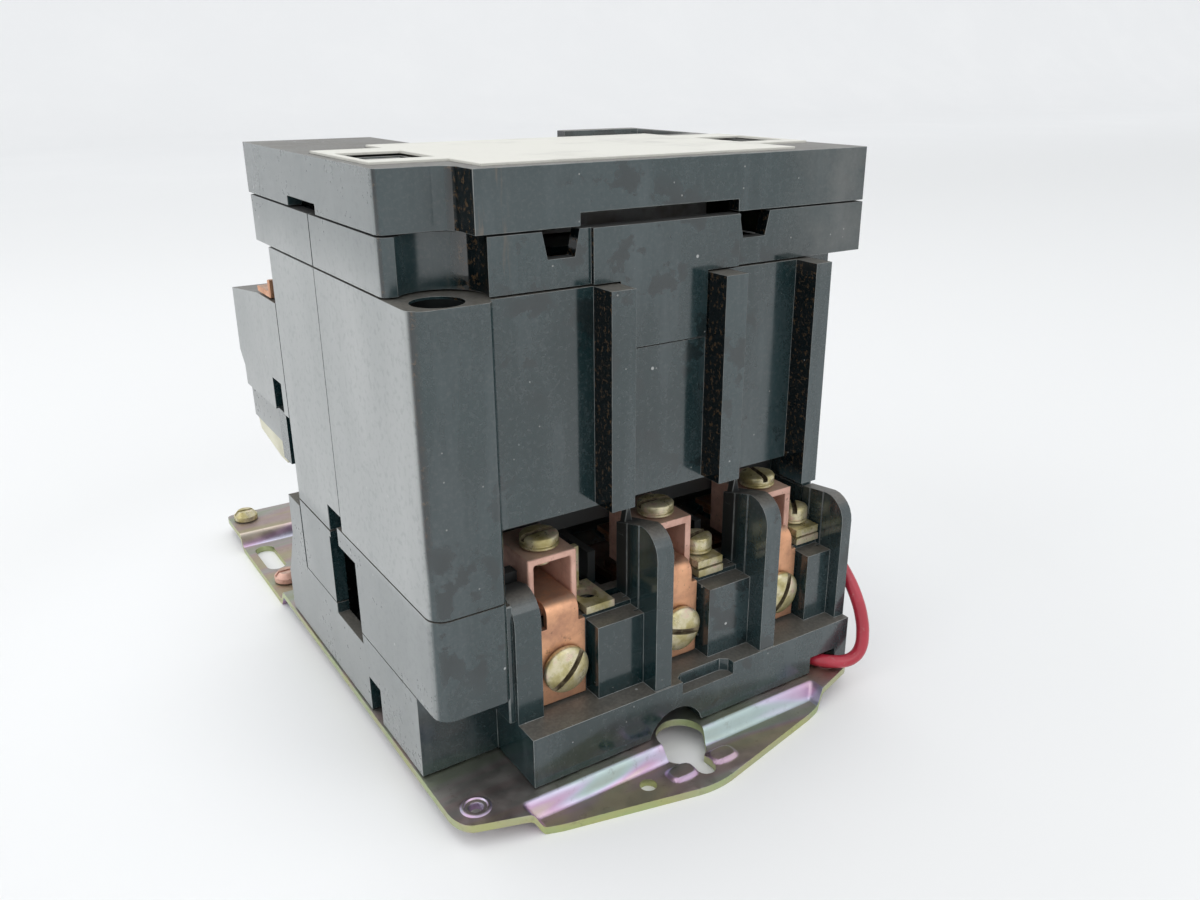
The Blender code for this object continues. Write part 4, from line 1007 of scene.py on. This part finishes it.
def terminals():
    for side in ("load", "line"):
        for pole in POLES:
            softened_node(f"{side}_lug_{pole}", "lug", 0.45, segments=3)
            softened_node(f"{side}_strap_{pole}", "strap", 0.30, segments=3)
            node = f"{side}_lug_screw_{pole}"
            clamping_screw(node, f"{side}_wire_screw_{pole}", SLOT_ANGLES[pole], 2.5)
    for pole in POLES:
        binding_screw(f"load_strap_screw_{pole}", f"strap_screw_{pole}", STRAP_SLOT_ANGLES[pole])
        softened_node(f"tap_plate_{pole}", "zinc_dirty", 0.25, segments=3)
    for pole in POLES[1:]:
        softened_node(f"saddle_clamp_{pole}", "zinc_dirty", 0.35, segments=3)
        node = f"saddle_screw_{pole}"
        clamping_screw(node, f"tap_screw_{pole}", 12 + 40 * (pole - 2), 3.4, 1.5)


def small_metal():
    """The strip's screws, the earth screw and the rear block's metal and foot."""
    for node in ("strip_screw_left", "strip_screw_right", "corner_screw"):
        softened_node(node, "zinc", 0.15)
    softened_node("earth_screw", "lug", 0.15)
    softened_node("aux_terminal", "strap", 0.20)
    softened_node("aux_foot", "nylon", 0.35)


# Red lead

# The route's points as part.py has them, in metres from the middle of the body
LEAD_ROUTE = [
    (0.0434, -0.0440, 0.0330), (0.0460, -0.0446, 0.0329), (0.0470, -0.0490, 0.0313),
    (0.0471, -0.0550, 0.0286), (0.0474, -0.0610, 0.0246), (0.0477, -0.0660, 0.0194),
    (0.0476, -0.0692, 0.0132), (0.0460, -0.0706, 0.0082), (0.0428, -0.0702, 0.0064),
    (0.0394, -0.0680, 0.00625), (0.0374, -0.0650, 0.00625), (0.0372, -0.0618, 0.00625),
]
LEAD_POINTS = 20
LEAD_DIAMETER = 0.0027


def lead_point(place):
    """A point on the Catmull-Rom curve through the route, in the row frame; place runs from 0 to 1."""
    spans = len(LEAD_ROUTE) - 1
    position = min(place * spans, spans - 1e-6)
    index = int(position)
    t = position - index
    before = Vector(LEAD_ROUTE[max(index - 1, 0)])
    start = Vector(LEAD_ROUTE[index])
    end = Vector(LEAD_ROUTE[index + 1])
    after = Vector(LEAD_ROUTE[min(index + 2, spans)])
    bend = 2 * before - 5 * start + 4 * end - after
    swing = 3 * (start - end) + after - before
    point = 0.5 * (2 * start + (end - before) * t + bend * t * t + swing * t * t * t)
    return point + Vector((PLATE_X * MM, 0, 0))


def red_lead():
    """The insulated lead: a loop down the right side with both its ends in the object."""
    data = bpy.data.curves.new("red_lead", "CURVE")
    data.dimensions = "3D"
    data.bevel_depth = LEAD_DIAMETER / 2
    data.bevel_resolution = 6
    data.resolution_u = 6
    data.use_fill_caps = True
    spline = data.splines.new("BEZIER")
    spline.bezier_points.add(LEAD_POINTS - 1)
    for index, knot in enumerate(spline.bezier_points):
        knot.co = lead_point(index / (LEAD_POINTS - 1))
        knot.handle_left_type = knot.handle_right_type = "AUTO"
    data.materials.append(MATERIALS["red"])
    lead = bpy.data.objects.new("red_lead", data)
    bpy.context.scene.collection.objects.link(lead)
    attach(lead, "housing")
    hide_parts("coil_lead")


# Springs


def smooth_copy(node, finish, body):
    """The CAD shape with rounder, finer faces."""
    shell = bmesh.new()
    shell.from_mesh(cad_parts[node].data)
    bmesh.ops.remove_doubles(shell, verts=shell.verts, dist=2e-6)
    bmesh.ops.join_triangles(
        shell, faces=shell.faces, angle_face_threshold=0.7, angle_shape_threshold=3.1,
    )
    piece = new_piece(f"{node}_smooth", shell, finish, body, smooth_angle=180)
    rounder = piece.modifiers.new("rounder", "SUBSURF")
    rounder.levels = 2
    rounder.render_levels = 2
    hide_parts(node)
    return piece


def springs():
    """Springs that get shorter as the carrier rises and as the bridges give way."""
    for side in ("left", "right"):
        node = f"return_spring_{side}"
        spring = smooth_copy(node, "spring", "housing")
        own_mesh(spring)
    for pole in POLES:
        node = f"contact_spring_{pole}"
        spring = smooth_copy(node, "spring", "carrier")
        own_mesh(spring)


def painted_nodes():
    """Hidden or already round nodes keep their CAD mesh and only take a finish."""
    finishes = {
        "core": ["magnet_core", "armature"],
        "inner_plastic": ["coil_bobbin", "magnet_seat", "contact_carrier", "aux_plunger"],
        "winding": ["coil_winding"],
        "zinc": ["armature_pin"],
        "inner_copper": [f"contact_bridge_{pole}" for pole in POLES],
    }
    for finish, nodes in finishes.items():
        for node in nodes:
            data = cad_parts[node].data
            data.materials.clear()
            data.materials.append(MATERIALS[finish])


look_camera()
make_materials()
red_lead()
studio()
sweep()
housings()
plate()
terminals()
small_metal()
springs()
painted_nodes()
